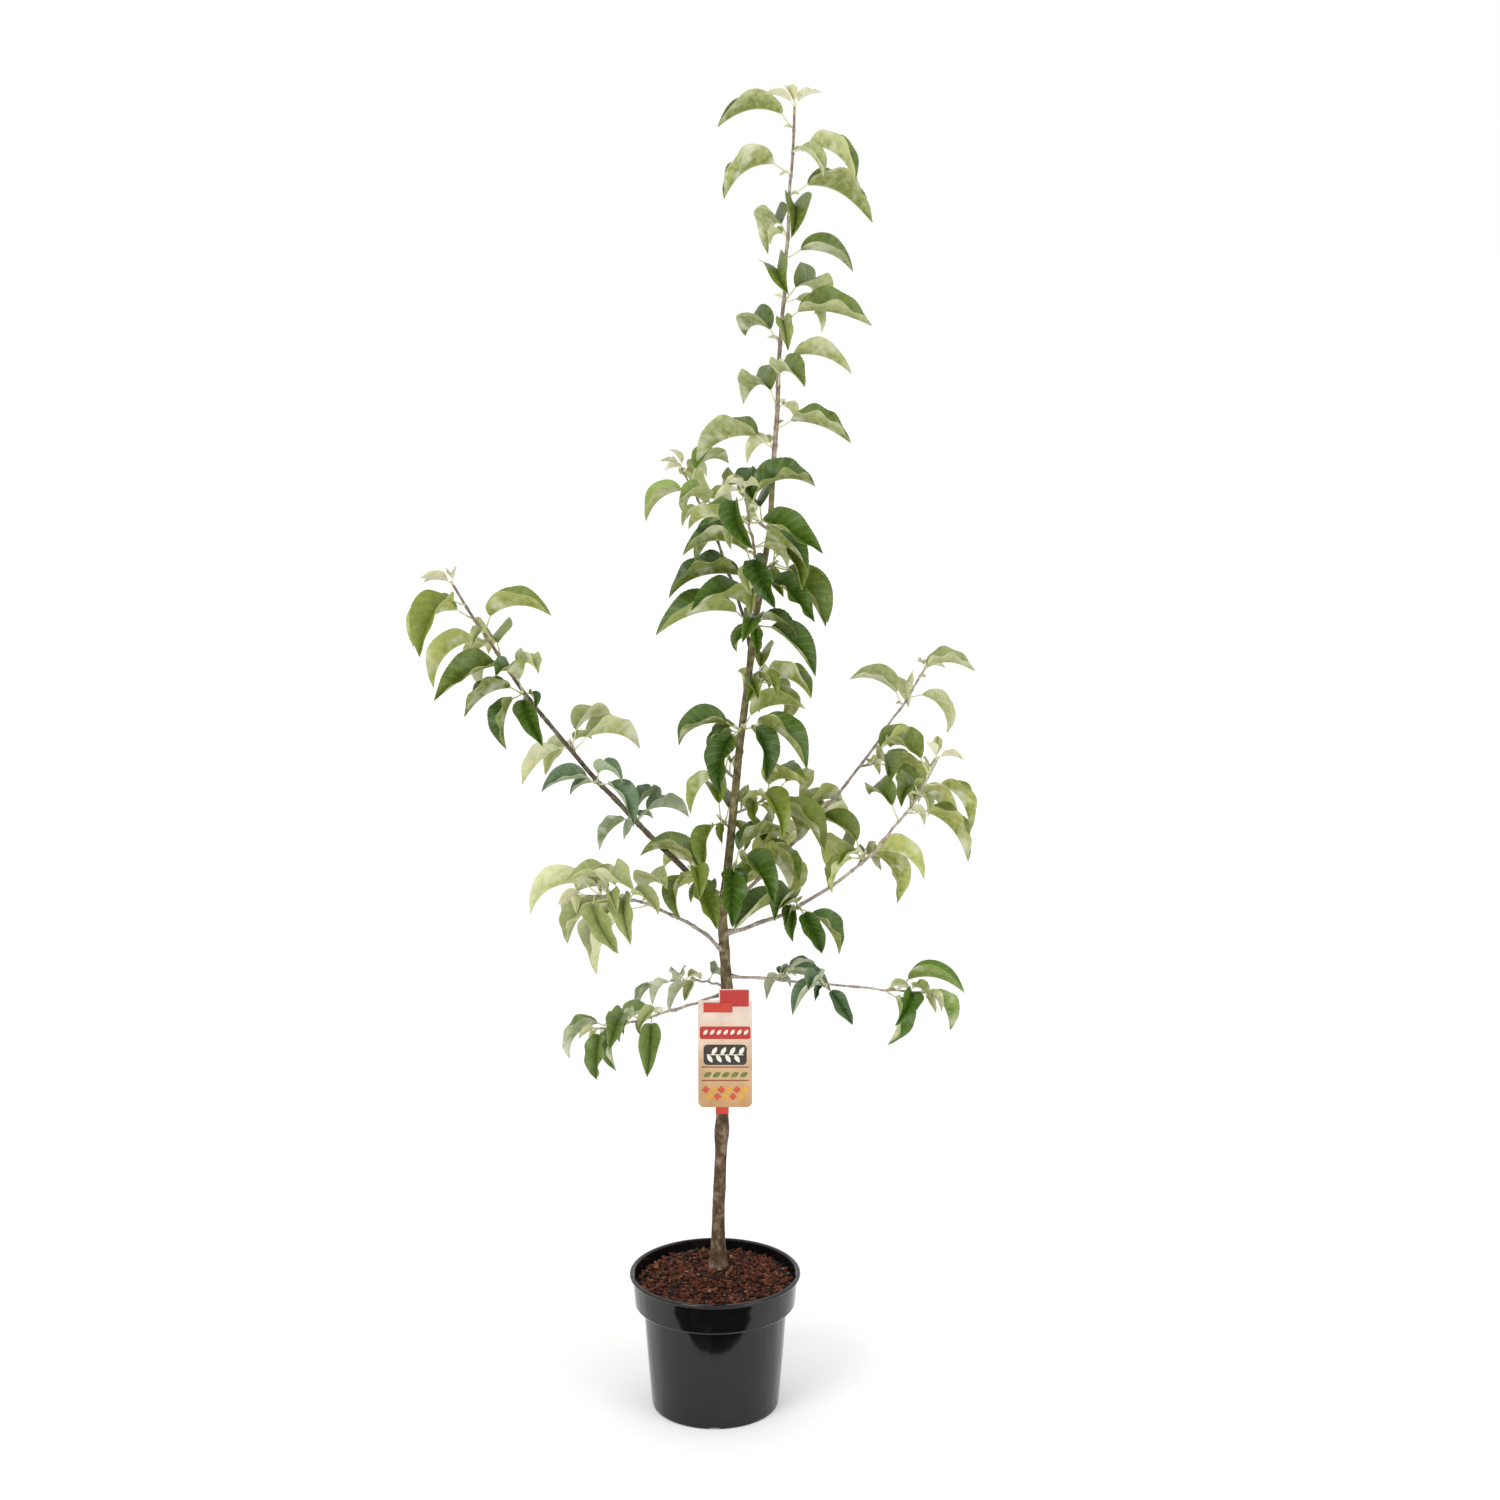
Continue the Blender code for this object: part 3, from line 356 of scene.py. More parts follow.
# The potting mix is composted bark: red-brown, matt and open, with a few light flecks
mixSize = {
    "belowLip": 0.013, "heap": 0.009, "heapReach": 0.055, "footPlace": 0.017, "footX": 0.0028, "footY": 0.022,
    "around": 96, "rings": 26, "bedDrop": 0.0030, "crumb": 0.0011, "bedColour": "#27150c", "bedCrease": 80.0,
    "wallGap": 0.0006, "chipGap": 0.0008, "shoulder": 0.001, "trunkGap": 0.011, "seed": 41,
    "waveHeight": 0.0016, "wavesPerMetre": (31.0, 43.0), "calmReach": 0.04,
    "chips": 2300, "lengthMm": (2.6, 10.0), "widthMm": (1.8, 5.5), "thickMm": (0.8, 2.2), "tiltSpread": 0.36,
    "largeShare": 0.13, "largeTimes": 1.9, "corners": (5, 8), "cornerSpread": 0.3, "cornerReach": (0.72, 1.0),
    "levels": ((0.8, -1.0), (1.0, -0.4), (1.0, 0.4), (0.76, 1.0)), "sink": 0.0018, "lift": (-0.0010, 0.0022),
    "chipCrease": 30.0,
    # the kinds of chip: colour, share of all and size
    "kinds": {"redBark": ("#66301b", 0.40, 1.0), "darkBark": ("#382014", 0.34, 1.0),
              "tanBark": ("#86502f", 0.19, 1.0), "paleFleck": ("#b8947a", 0.07, 0.5)},
}


def compostedBark(name, colour):
    # chopped and weathered, with no gloss at all, and rough where it broke
    m, place = newMaterial(name)
    grain = addNode(m, "TexNoise", {"Vector": place, "Scale": 1000 / 1.2, "Detail": 5.0})  # grain 1.2 mm wide
    shade = addNode(m, "ValToRGB", {"Fac": grain}, stops=((0.32, "#6a5e58"), (0.68, "#ffffff")))
    return finish(m, {
        "Base Color": addNode(m, "Mix", {0: 0.85, 6: linear(colour), 7: shade}, **darken),
        "Roughness": 0.92,
        "IOR": 1.4,
        "Normal": addNode(m, "Bump", {"Height": grain, "Distance": 0.0005}),
    })


def mixHeight(x, y):
    # the mix's surface, heaped towards the trunk
    s = mixSize
    reach = math.hypot(x - s["footX"], y - s["footY"])
    heap = s["heap"] * math.exp(-(max(0.0, reach - s["footPlace"]) / s["heapReach"]) ** 2)
    a, b = (math.tau * waves for waves in s["wavesPerMetre"])
    clods = s["waveHeight"] * math.sin(a * x + 0.4 * b * y + 1.0) * math.sin(b * y - 0.3 * a * x)
    return potSize["height"] - s["belowLip"] + heap + clods * min(1.0, reach / s["calmReach"])


def makeMix():
    s = mixSize
    rng = random.Random(s["seed"])
    bandFoot = potSize["height"] - potSize["bandDepth"] + potSize["wall"]
    inner = potInside(potSize["height"] - s["belowLip"]) - s["chipGap"]
    wallHeights = (potSize["floor"] + seam, bandFoot - potSize["ledge"], bandFoot + s["shoulder"])
    rings = [circle(potInside(z) - s["wallGap"], z, s["around"]) for z in wallHeights]
    for step in range(s["rings"]):
        ring = circle(inner * (1 - step / s["rings"]), 0.0, s["around"])
        for point in ring:
            point[2] = mixHeight(point[0], point[1]) - s["bedDrop"] + eitherWay(rng, s["crumb"])
        rings.append(ring)
    fines = compostedBark("barkFines", s["bedColour"])
    bed = makeObject("mixBed", addRings(newBatch(), rings), [fines], s["bedCrease"])
    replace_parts(bed, "potting_mix")

    batches = {name: newBatch() for name in s["kinds"]}
    shares = [share for _, share, _ in s["kinds"].values()]
    placed = 0
    while placed < s["chips"]:
        reach, around = inner * math.sqrt(rng.random()), rng.uniform(0, math.tau)
        x, y = reach * math.cos(around), reach * math.sin(around)
        kind = rng.choices(list(batches), shares)[0]
        grow = s["kinds"][kind][2] * (s["largeTimes"] if rng.random() < s["largeShare"] else 1.0)
        length, width, thick = (
            rng.uniform(*s[key]) * grow / 2000 for key in ("lengthMm", "widthMm", "thickMm"))
        if reach + length > inner or math.hypot(x - s["footX"], y - s["footY"]) < s["trunkGap"]:
            continue
        sides = rng.randrange(*s["corners"])
        angles = [math.tau * (k + eitherWay(rng, s["cornerSpread"])) / sides for k in range(sides)]
        outline = [[f(a) * rng.uniform(*s["cornerReach"]) for f in (math.cos, math.sin)] for a in angles]
        chip = np.array([[(px * length * wide, py * width * wide, z * thick) for px, py in outline]
                         for wide, z in s["levels"]])
        yaw = rng.uniform(0, math.tau)
        pitch, roll = rng.gauss(0, s["tiltSpread"]), rng.gauss(0, s["tiltSpread"])
        cy, sy, cp, sp, cr, sr = (f(a) for a in (yaw, pitch, roll) for f in (math.cos, math.sin))
        turn = np.array(((cy, -sy, 0), (sy, cy, 0), (0, 0, 1)))
        turn = turn @ np.array(((cp, 0, sp), (0, 1, 0), (-sp, 0, cp)))
        turn = turn @ np.array(((1, 0, 0), (0, cr, -sr), (0, sr, cr)))
        centre = np.array((x, y, mixHeight(x, y) - s["sink"] + rng.uniform(*s["lift"])))
        addRings(batches[kind], chip @ turn.T + centre)
        placed += 1
    for name, chips in batches.items():
        bark = compostedBark(name, s["kinds"][name][0])
        makeObject(name + "Chips", chips, [bark], s["chipCrease"])
    print("potting mix made,", placed, "chips")


# The trunk. Each of its lengths is given with its lean to the right and to the back, in metres and degrees
trunkSize = {
    "lengths": ((0.080, 1.1, 0.6), (0.194, 2.4, 0.8), (0.083, 1.8, -1.2), (0.100, -3.3, -1.6),
                (0.044, 7.9, 0.8), (0.160, 5.6, 1.2), (0.163, 7.1, 0.4), (0.097, 8.9, -1.4),
                (0.065, 2.7, -0.6)),
    "ringStep": 0.018, "sides": 10, "footRadius": 0.0083, "tipRadius": 0.0031, "taper": 0.8,
    "flare": 0.0040, "flareHeight": 0.022, "flareLobes": 5, "flareLobeShare": 0.35,
    "graftHeight": 0.345, "graftSwell": 0.0021, "graftSpread": 0.017, "collarSwell": 0.0009,
    "collarSpread": 0.010, "lump": 0.00035, "lumpSeed": 11, "fineStep": 0.0022, "fineSides": 40,
    "creaseDegrees": 60.0,
    # relief: how many waves, and the slowest and fastest of them along the stem, in radians per metre
    "reliefMm": 0.26, "reliefWaves": (14, 90.0, 1100.0), "bulgeMm": 0.35, "bulgeWaves": (5, 25.0, 90.0),
    "reliefSeed": 8, "knobs": 22, "knobMm": (0.5, 1.5), "knobSpread": (0.0022, 0.0045), "knobFrom": 0.03,
    "knobTo": 0.52,
}

# The limbs. The bare share is a bough, and a leafy shoot carries on from its tip. The bark mesh is as thick as
# thin says, against the solid, and pale bark is that of the thin side shoots
Limb = namedtuple("Limb", "height azimuth rise length bare footRadius tipRadius thin pale")
limbSizes = {
    "left": Limb(0.632, (178, 206), (43, 60), 0.510, 0.74, 0.0046, 0.0018, 0.84, False),
    "right_back": Limb(0.624, (25, 55), (36, 40), 0.425, 0.74, 0.0032, 0.0015, 0.78, True),
    "right_front": Limb(0.598, (-18, 5), (16, 66), 0.350, 0.72, 0.0034, 0.0016, 0.76, True),
    "front_left": Limb(0.575, (206, 218), (46, 8), 0.220, 0.55, 0.0030, 0.0015, 0.78, True),
    "low_right": Limb(0.545, (-5, -22), (-5, 3), 0.246, 0.78, 0.0025, 0.0013, 0.74, True),
    "low_left": Limb(0.524, (183, 232), (-22, 8), 0.180, 0.40, 0.0024, 0.0013, 0.74, True),
    "upper_back": Limb(0.942, (122, 140), (65, 51), 0.245, 0.70, 0.0024, 0.0013, 0.85, False),
    "low_back": Limb(0.530, (120, 135), (-5, -21), 0.160, 0.0, 0.0020, 0.0012, 0.80, True),
    "upper_front": Limb(1.000, (270, 255), (39, 53), 0.205, 0.0, 0.0023, 0.0012, 0.90, False),
    "leader": Limb(1.166, (0, 0), (86.6, 86.6), 0.410, 0.0, 0.0030, 0.0014, 1.0, False),
}
limbRule = {"steps": 14, "sides": 7, "kink": 0.0012, "seed": 31}


def trunkPath():
    foot = potSize["height"] - mixSize["belowLip"] + mixSize["heap"] + seam
    points = [np.array((mixSize["footX"], mixSize["footY"], foot))]
    for length, right, back in trunkSize["lengths"]:
        steps = max(1, round(length / trunkSize["ringStep"]))
        way = unit(np.array((math.tan(math.radians(right)), math.tan(math.radians(back)), 1.0)))
        for _ in range(steps):
            points.append(points[-1] + way * (length / steps / way[2]))
    return np.array(points)


def trunkRadius(z, foot, top):
    s = trunkSize
    radius = blend(s["footRadius"], s["tipRadius"], ((z - foot) / (top - foot)) ** s["taper"])
    radius += s["graftSwell"] * math.exp(-((z - s["graftHeight"]) / s["graftSpread"]) ** 2)
    for limb in limbSizes.values():
        if limb.height < top:
            radius += s["collarSwell"] * math.exp(-((z - limb.height) / s["collarSpread"]) ** 2)
    return radius


def trunkReach(angles, z, foot, top):
    # how far the trunk's side is from its middle, with the lobes of its root flare
    s = trunkSize
    flare = s["flare"] * math.exp(-(z - foot) / s["flareHeight"])
    return trunkRadius(z, foot, top) + flare * (1 + s["flareLobeShare"] * np.cos(s["flareLobes"] * angles))


def trunkRings(points):
    # the coarse trunk that its solid has, which leaves keep clear of
    s = trunkSize
    rng = random.Random(s["lumpSeed"])
    angles = anglesRound(s["sides"])
    rings = []
    for x, y, z in points:
        lump = s["lump"] * np.cos(2 * angles + rng.uniform(0, math.tau))
        reach = trunkReach(angles, z, points[0][2], points[-1][2]) + lump
        rings.append(circle(reach, z, s["sides"]) + np.array((x, y, 0.0)))
    return rings


def limbPath(name, trunk):
    limb = limbSizes[name]
    rng = random.Random(limbRule["seed"] + len(name))
    if limb.height >= trunk[-1][2]:
        points = [trunk[-1] + unit(trunk[-1] - trunk[-2]) * seam]
    else:
        points = [np.array([np.interp(limb.height, trunk[:, 2], trunk[:, axis]) for axis in range(3)])]
    steps = limbRule["steps"]
    for step in range(steps):
        share = (step + 0.5) / steps
        way = heading(blend(*limb.azimuth, share), blend(*limb.rise, share))
        points.append(points[-1] + way * (limb.length / steps))
    points = np.array(points)
    points[1:] += [[eitherWay(rng, limbRule["kink"]) for _ in range(3)] for _ in range(steps)]
    return points


def splitAt(points, radii, share):
    # a limb's path before and after a share of it, with the solids' gap between the two
    place = share * (len(points) - 1)
    i = int(place)
    point = blend(points[i], points[i + 1], place - i)
    radius = blend(radii[i], radii[i + 1], place - i)
    start = point + unit(points[i + 1] - points[i]) * seam
    before = (np.vstack((points[:i + 1], [point])), radii[:i + 1] + [radius])
    return before, (np.vstack(([start], points[i + 1:])), [radius] + radii[i + 1:])


def ripples(seed, waves, slowest, fastest):
    # seeded waves round and along a stem, for the relief of its bark
    rng = random.Random(seed)
    rows = [(rng.randrange(1, 7), rng.uniform(slowest, fastest) * rng.choice((-1, 1)),
             rng.uniform(0, math.tau), rng.uniform(0.4, 1.0)) for _ in range(waves)]
    total = sum(row[3] for row in rows)

    def relief(angle, along):
        heights = (size * np.cos(turns * angle + rate * along + phase) for turns, rate, phase, size in rows)
        return sum(heights) / total
    return relief


# How finely a stem's bark is made, and the knots of a bough: a collar at its foot, and scars along it
stemLooks = {
    "bough": {"step": 0.0022, "sides": 18, "reliefMm": 0.22, "seed": 60},
    "shoot": {"step": 0.0014, "sides": 12, "reliefMm": 0.10, "seed": 200},
    "reliefWaves": (9, 120.0, 900.0), "collarPlace": 0.006, "collarShare": 0.5, "collarSpread": 0.007,
    "scars": 9, "scarFrom": 0.03, "scarSwell": 0.0006, "scarSpread": 0.0018, "creaseDegrees": 60.0,
}


def barkTube(batch, points, widths, kind, index, swells, finish):
    # a stem along a curve with bark relief, swollen by (place, size, spread) along its length
    look = stemLooks[kind]
    length = np.linalg.norm(np.diff(points, axis=0), axis=1).sum()
    count = max(6, round(length / look["step"]))
    curve = curveThrough(points, count)
    along = np.linspace(0, length, count)
    widths = np.interp(np.linspace(0, 1, count), np.linspace(0, 1, len(widths)), widths)
    for place, size, spread in swells:
        widths = widths + size * np.exp(-((along - place) / spread) ** 2)
    relief = ripples(look["seed"] + index, *stemLooks["reliefWaves"])
    angles = anglesRound(look["sides"])
    rings = []
    for point, width, place, (_, side, up) in zip(curve, widths, along, framesOf(curve)):
        reach = width + relief(angles, place) * look["reliefMm"] / 1000
        rings.append(point + np.outer(np.cos(angles) * reach, side) + np.outer(np.sin(angles) * reach, up))
    addRings(batch, rings, finish)


# Young apple bark is a grown skin: olive-brown and dull on old wood, mauve-brown and a little waxy on new
barkSkins = {
    "oldWood": {"stops": ((0.34, "#402c19"), (0.5, "#5f482f"), (0.68, "#8b7862")), "roughness": 0.8,
                "blotchMm": 11.0, "greenHeights": (0.51, 0.64),
                "greenStops": ((0.34, "#51492a"), (0.5, "#746b43"), (0.68, "#9b906c"))},
    "bough": {"stops": ((0.34, "#45392b"), (0.52, "#5f523f"), (0.7, "#877c68")), "roughness": 0.72,
              "blotchMm": 8.0},
    "newWood": {"stops": ((0.32, "#75645a"), (0.5, "#93836f"), (0.7, "#b3aa8d")), "roughness": 0.58,
                "blotchMm": 9.0},
    "paleWood": {"stops": ((0.32, "#8f8179"), (0.5, "#ab9f92"), (0.7, "#c8beae")), "roughness": 0.6,
                 "blotchMm": 9.0},
}


def appleBark(name):
    skin = barkSkins[name]
    m, place = newMaterial(name + "Bark")
    drawn = addNode(m, "Mapping", {"Vector": place, "Scale": (1.0, 1.0, 0.25)})
    blotches = addNode(m, "TexNoise", {"Vector": place, "Scale": 1000 / skin["blotchMm"], "Detail": 4.0})
    grain = addNode(m, "TexNoise", {"Vector": drawn, "Scale": 1000 / 1.6, "Detail": 5.0})  # 1.6 mm wide
    pores = addNode(m, "TexVoronoi", {"Vector": place, "Scale": 1000 / 6.5})  # 6.5 mm apart and 1 mm wide
    pore = addNode(m, "MapRange", {"Value": pores, "From Min": 0.06, "From Max": 0.13,
                                   "To Min": 0.6, "To Max": 0.0})
    colour = addNode(m, "ValToRGB", {"Fac": blotches}, stops=skin["stops"])
    if "greenStops" in skin:  # the stem is browner at its foot, and greener among the leaves
        low, high = skin["greenHeights"]
        height = addNode(m, "SeparateXYZ", {"Vector": place}, "Z")
        among = addNode(m, "MapRange", {"Value": height, "From Min": low, "From Max": high})
        greener = addNode(m, "ValToRGB", {"Fac": blotches}, stops=skin["greenStops"])
        colour = addNode(m, "Mix", {0: among, 6: colour, 7: greener}, **colourMix)
    fissures = addNode(m, "ValToRGB", {"Fac": grain}, stops=((0.34, "#6e645c"), (0.6, "#ffffff")))
    colour = addNode(m, "Mix", {0: 0.65, 6: colour, 7: fissures}, **darken)
    bumps = addNode(m, "Math", {0: grain, 1: pore}, operation="ADD")
    return finish(m, {
        "Base Color": addNode(m, "Mix", {0: pore, 6: colour, 7: linear("#b3a48e")}, **colourMix),
        "Roughness": skin["roughness"],
        "IOR": 1.45,
        "Normal": addNode(m, "Bump", {"Height": bumps, "Distance": 0.0005}),
    })


def makeTrunk(points, material):
    s = trunkSize
    foot, top = points[0][2], points[-1][2]
    count = round((top - foot) / s["fineStep"])
    relief = ripples(s["reliefSeed"], *s["reliefWaves"])
    bulges = ripples(s["reliefSeed"] + 1, *s["bulgeWaves"])
    rng = random.Random(s["reliefSeed"])
    knobs = [(rng.uniform(foot + s["knobFrom"], s["knobTo"]), rng.uniform(0, math.tau),
              rng.uniform(*s["knobMm"]) / 1000, rng.uniform(*s["knobSpread"])) for _ in range(s["knobs"])]
    angles = anglesRound(s["fineSides"])
    rings = []
    for x, y, z in curveThrough(points, count):
        radius = trunkRadius(z, foot, top)
        rough = relief(angles, z) * s["reliefMm"] + bulges(angles, z) * s["bulgeMm"]
        reach = trunkReach(angles, z, foot, top) + rough / 1000 * (radius / s["footRadius"])
        for height, turn, size, width in knobs:
            away = np.abs((angles - turn + math.pi) % math.tau - math.pi) * radius
            reach += size * np.exp(-((z - height) / width) ** 2 - (away / width) ** 2)
        rings.append(circle(reach, z, s["fineSides"]) + np.array((x, y, 0.0)))
    bark = makeObject("trunkBark", addRings(newBatch(), rings), [material], s["creaseDegrees"])
    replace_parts(bark, "trunk")
    print("trunk made,", count, "rings")


def makeBoughs(trunk, barks):
    # gives each limb's whole path, the shells that leaves keep clear of, and the path of each leafy shoot
    s = stemLooks
    batch = newBatch()
    limbs, shells, shoots = {}, [], {}
    for index, (name, limb) in enumerate(limbSizes.items()):
        points = limbPath(name, trunk)
        radii = [blend(limb.footRadius, limb.tipRadius, i / (len(points) - 1)) for i in range(len(points))]
        limbs[name] = points
        if limb.bare:
            (points, radii), after = splitAt(points, radii, limb.bare)
            shells.append(searchTree(tubeRings(points, radii, limbRule["sides"])))
            rng = random.Random(index)
            swells = [(s["collarPlace"], limb.footRadius * s["collarShare"], s["collarSpread"])]
            for _ in range(s["scars"]):
                place = rng.uniform(s["scarFrom"], limb.length * limb.bare)
                swells.append((place, s["scarSwell"], s["scarSpread"]))
            barkTube(batch, points, np.array(radii) * limb.thin, "bough", index, swells, int(limb.pale))
            points, radii = after
        shoots[name + "_shoot"] = (points, radii)
    boughs = makeObject("boughBark", batch, [barks["bough"], barks["paleWood"]], s["creaseDegrees"])
    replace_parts(boughs, *[name for name in cadNodes if name.endswith("_bough")])
    print("boughs made,", len(shells))
    return limbs, shells, shoots


# The leafy growths, as the solids have them: how many leaves, their length, the turn of the first one and the
# seed. A row of this table starts with the shares of the shoot that bear leaves and ends with their skin
Growth = namedtuple("Growth", "leaves leafLength firstTurn seed")
shootTable = {
    "leader_shoot": ((0.03, 0.97), Growth(16, 0.088, 0, 1), "high"),
    "left_shoot": ((0.05, 0.88), Growth(6, 0.092, 90, 4), "mid"),
    "upper_front_shoot": ((0.10, 1.00), Growth(9, 0.085, 0, 1), "deep"),
    "upper_back_shoot": ((0.10, 1.00), Growth(5, 0.065, 90, 6), "fresh"),
    "front_left_shoot": ((0.10, 1.00), Growth(10, 0.085, 90, 1), "pale"),
    "low_right_shoot": ((0.20, 1.00), Growth(4, 0.072, 90, 8), "vivid"),
    "low_left_shoot": ((0.10, 1.00), Growth(7, 0.062, 0, 4), "low"),
    "low_back_shoot": ((0.20, 1.00), Growth(5, 0.050, 0, 1), "dusty"),
    "right_front_shoot": ((0.05, 0.85), Growth(6, 0.080, 0, 8), "mid"),
    "right_back_shoot": ((0.40, 0.90), Growth(4, 0.068, 0, 6), "pale"),
}
# The spurs of each carrier, from its foot up: place, azimuth and length, and then how many leaves, their
# length, the seed and the skin. The place is a share of a bough, or a height on the trunk
spurRows = {
    "left": ((0.28, 90, 0.015, 3, 0.060, 1, "grey"), (0.41, 270, 0.020, 3, 0.062, 4, "grey"),
             (0.50, 90, 0.025, 4, 0.075, 1, "pale"), (0.69, 270, 0.015, 4, 0.070, 3, "deep")),
    "low_right": ((0.25, 90, 0.015, 3, 0.050, 1, "grey"), (0.48, 270, 0.015, 3, 0.055, 3, "grey")),
    "right_back": ((0.33, 120, 0.020, 4, 0.080, 1, "mid"), (0.60, 320, 0.025, 4, 0.080, 4, "mid")),
    "right_front": ((0.28, 270, 0.020, 4, 0.075, 1, "deep"), (0.54, 90, 0.025, 4, 0.085, 8, "mid")),
    "trunk": ((0.645, 220, 0.070, 5, 0.075, 1, "mid"), (0.668, 20, 0.060, 4, 0.080, 4, "mid"),
              (0.672, 285, 0.040, 4, 0.085, 8, "deep"), (0.727, 160, 0.020, 3, 0.075, 1, "mid"),
              (0.745, 0, 0.060, 5, 0.080, 3, "mid"), (0.787, 160, 0.020, 3, 0.065, 3, "fresh"),
              (0.842, 270, 0.025, 5, 0.085, 8, "deep"), (0.896, 30, 0.020, 4, 0.080, 4, "mid"),
              (0.968, 270, 0.020, 3, 0.095, 1, "deep"), (1.040, 320, 0.020, 4, 0.090, 3, "mid"),
              (1.085, 180, 0.020, 3, 0.095, 1, "deep")),
}
Spur = namedtuple("Spur", "on place azimuth length growth skin")
spurTable = {}
for carrier, rows in spurRows.items():
    for k, (*spot, count, leafLength, seed, skin) in enumerate(rows):
        spurTable[f"{carrier}_spur_{k + 1}"] = Spur(carrier, *spot, Growth(count, leafLength, 0, seed), skin)

# The same rule as that of the solids, but for a smaller droop and droopSpread: these leaves hang straighter
leafRule = {
    "widthShare": 0.64, "thicknessShare": 0.012, "petioleShare": 0.28, "petioleRadius": 0.0009,
    "rootShare": 0.7, "petioleNod": 24.0, "stations": (0.10, 0.32, 0.64, 0.88), "shoulder": 0.75,
    "fullness": 0.9, "taper": 0.22, "arcSteps": 12, "arcBend": 0.55, "arcMoreBend": 0.9, "arcEnd": 0.91,
    "fold": 57.0, "droop": 52.0, "turn": 140.0, "spread": 54.0, "lowestRise": -12.0, "highestRise": 64.0,
    "turnSpread": 40.0, "leanSpread": 12.0, "sizeSpread": 0.16, "droopSpread": 17.0, "rollSpread": 30.0,
    "sweepSpread": 24.0, "shootShrink": 0.18, "spurShrink": 0.15, "spurShares": (0.45, 1.0),
    "youngLeaves": 3, "youngShare": 0.36, "youngTurnSpread": 90.0, "youngLean": (14.0, 42.0),
    "youngDroop": (8.0, 40.0), "youngSetback": 0.002, "clearance": 0.0010,
    "tries": ((0, 0), (12, 4), (-12, 4), (24, -6), (-24, -6), (38, 8), (-38, 8)),
}
# Small leaves that only the scene has, inside the reach of each growth: round the foot of a spur, and in the
# leaf axils of a shoot, where they are pale
smallLeafRule = {
    "perSpur": 5, "spurShares": (0.1, 0.8), "axilChance": 0.6, "sizeShare": (0.36, 0.62), "turn": (28.0, 80.0),
    "rise": (-8.0, 48.0), "droop": (35.0, 85.0), "rollSpread": 30.0, "sweepSpread": 20.0, "inset": 0.003,
}
twigRule = {
    "sides": 4, "spurSteps": 4, "spurLean": 62.0, "spurCurl": 0.08, "footRadius": 0.0017, "tipRadius": 0.0012,
}
Leaf = namedtuple("Leaf", "kind root azimuth rise length droop roll sweep tint", defaults=(0.0, 0.5))


def spurPath(spur, carrier):
    share = spur.place
    if spur.on == "trunk":
        share = np.interp(spur.place, carrier[:, 2], np.linspace(0, 1, len(carrier)))
    base, tangent, _, _ = atShare(carrier, share)
    aim = heading(spur.azimuth, 0)
    out = unit(aim - tangent * (aim @ tangent))
    lean = math.radians(twigRule["spurLean"])
    way = out * math.sin(lean) + tangent * math.cos(lean)
    points = [base]
    for _ in range(twigRule["spurSteps"]):
        points.append(points[-1] + way * (spur.length / twigRule["spurSteps"]))
        way = unit(way + np.array((0.0, 0.0, twigRule["spurCurl"])))
    return np.array(points)


def bladeWidth(u):
    r = leafRule
    return math.sin(math.pi * u ** r["shoulder"]) ** r["fullness"] * (1 - r["taper"] * u ** 3)


def midrib(leaf):
    # point, tangent, side and normal at even steps along a blade that nods and arches over
    r = leafRule
    tangent = heading(leaf.azimuth, leaf.rise)
    turn = math.radians(leaf.azimuth)
    side = turned(np.array((-math.sin(turn), math.cos(turn), 0.0)), tangent, math.radians(leaf.roll))
    normal = np.cross(tangent, side)
    point = leaf.root + tangent * (leaf.length * r["petioleShare"])
    tangent, normal = (turned(way, side, math.radians(r["petioleNod"])) for way in (tangent, normal))
    rows = [(point, tangent, side, normal)]
    for i in range(r["arcSteps"]):
        u = (i + 0.5) / r["arcSteps"]
        more = r["arcMoreBend"] * math.sin(math.pi * min(1.0, u / r["arcEnd"])) ** 0.5
        bend = math.radians(leaf.droop) / r["arcSteps"] * (r["arcBend"] + more)
        tangent, normal = turned(tangent, side, bend), turned(normal, side, bend)
        yaw = math.radians(leaf.sweep) / r["arcSteps"]
        tangent, side = turned(tangent, normal, yaw), turned(side, normal, yaw)
        point = point + tangent * (leaf.length / r["arcSteps"])
        rows.append((point, tangent, side, normal))
    return rows


def leafShell(leaf, extra):
    # the coarse leaf that its solid has, grown by its clearance
    r = leafRule
    rows = midrib(leaf)
    halfWidth = leaf.length * r["widthShare"] / 2
    thick = leaf.length * r["thicknessShare"]
    fold = math.radians(r["fold"])
    joint, _, side, normal = rows[0]
    petiole = [arm * r["petioleRadius"] for arm in (side, normal, -side, -normal)]
    rings = [[leaf.root + arm * r["rootShare"] for arm in petiole], [joint + arm for arm in petiole]]
    for u in r["stations"]:
        i = int(u * r["arcSteps"])
        share = u * r["arcSteps"] - i
        point, _, side, normal = (blend(rows[i][k], rows[i + 1][k], share) for k in range(4))
        reach = halfWidth * bladeWidth(u) + extra
        out, lift = side * (reach * math.cos(fold)), normal * (reach * math.sin(fold))
        below = normal * (thick + extra)
        rings.append([point + out + lift, point + normal * extra, point - out + lift, point - below])
    return rings, rows[-1][0]


def aimOf(stem, angle, lean):
    # azimuth and rise, in degrees, of what leans away from a stem at an angle round it
    tangent, side, up = stem
    out = tangent * math.cos(lean) + (side * math.cos(angle) + up * math.sin(angle)) * math.sin(lean)
    return math.degrees(math.atan2(out[1], out[0])), math.degrees(math.asin(out[2]))


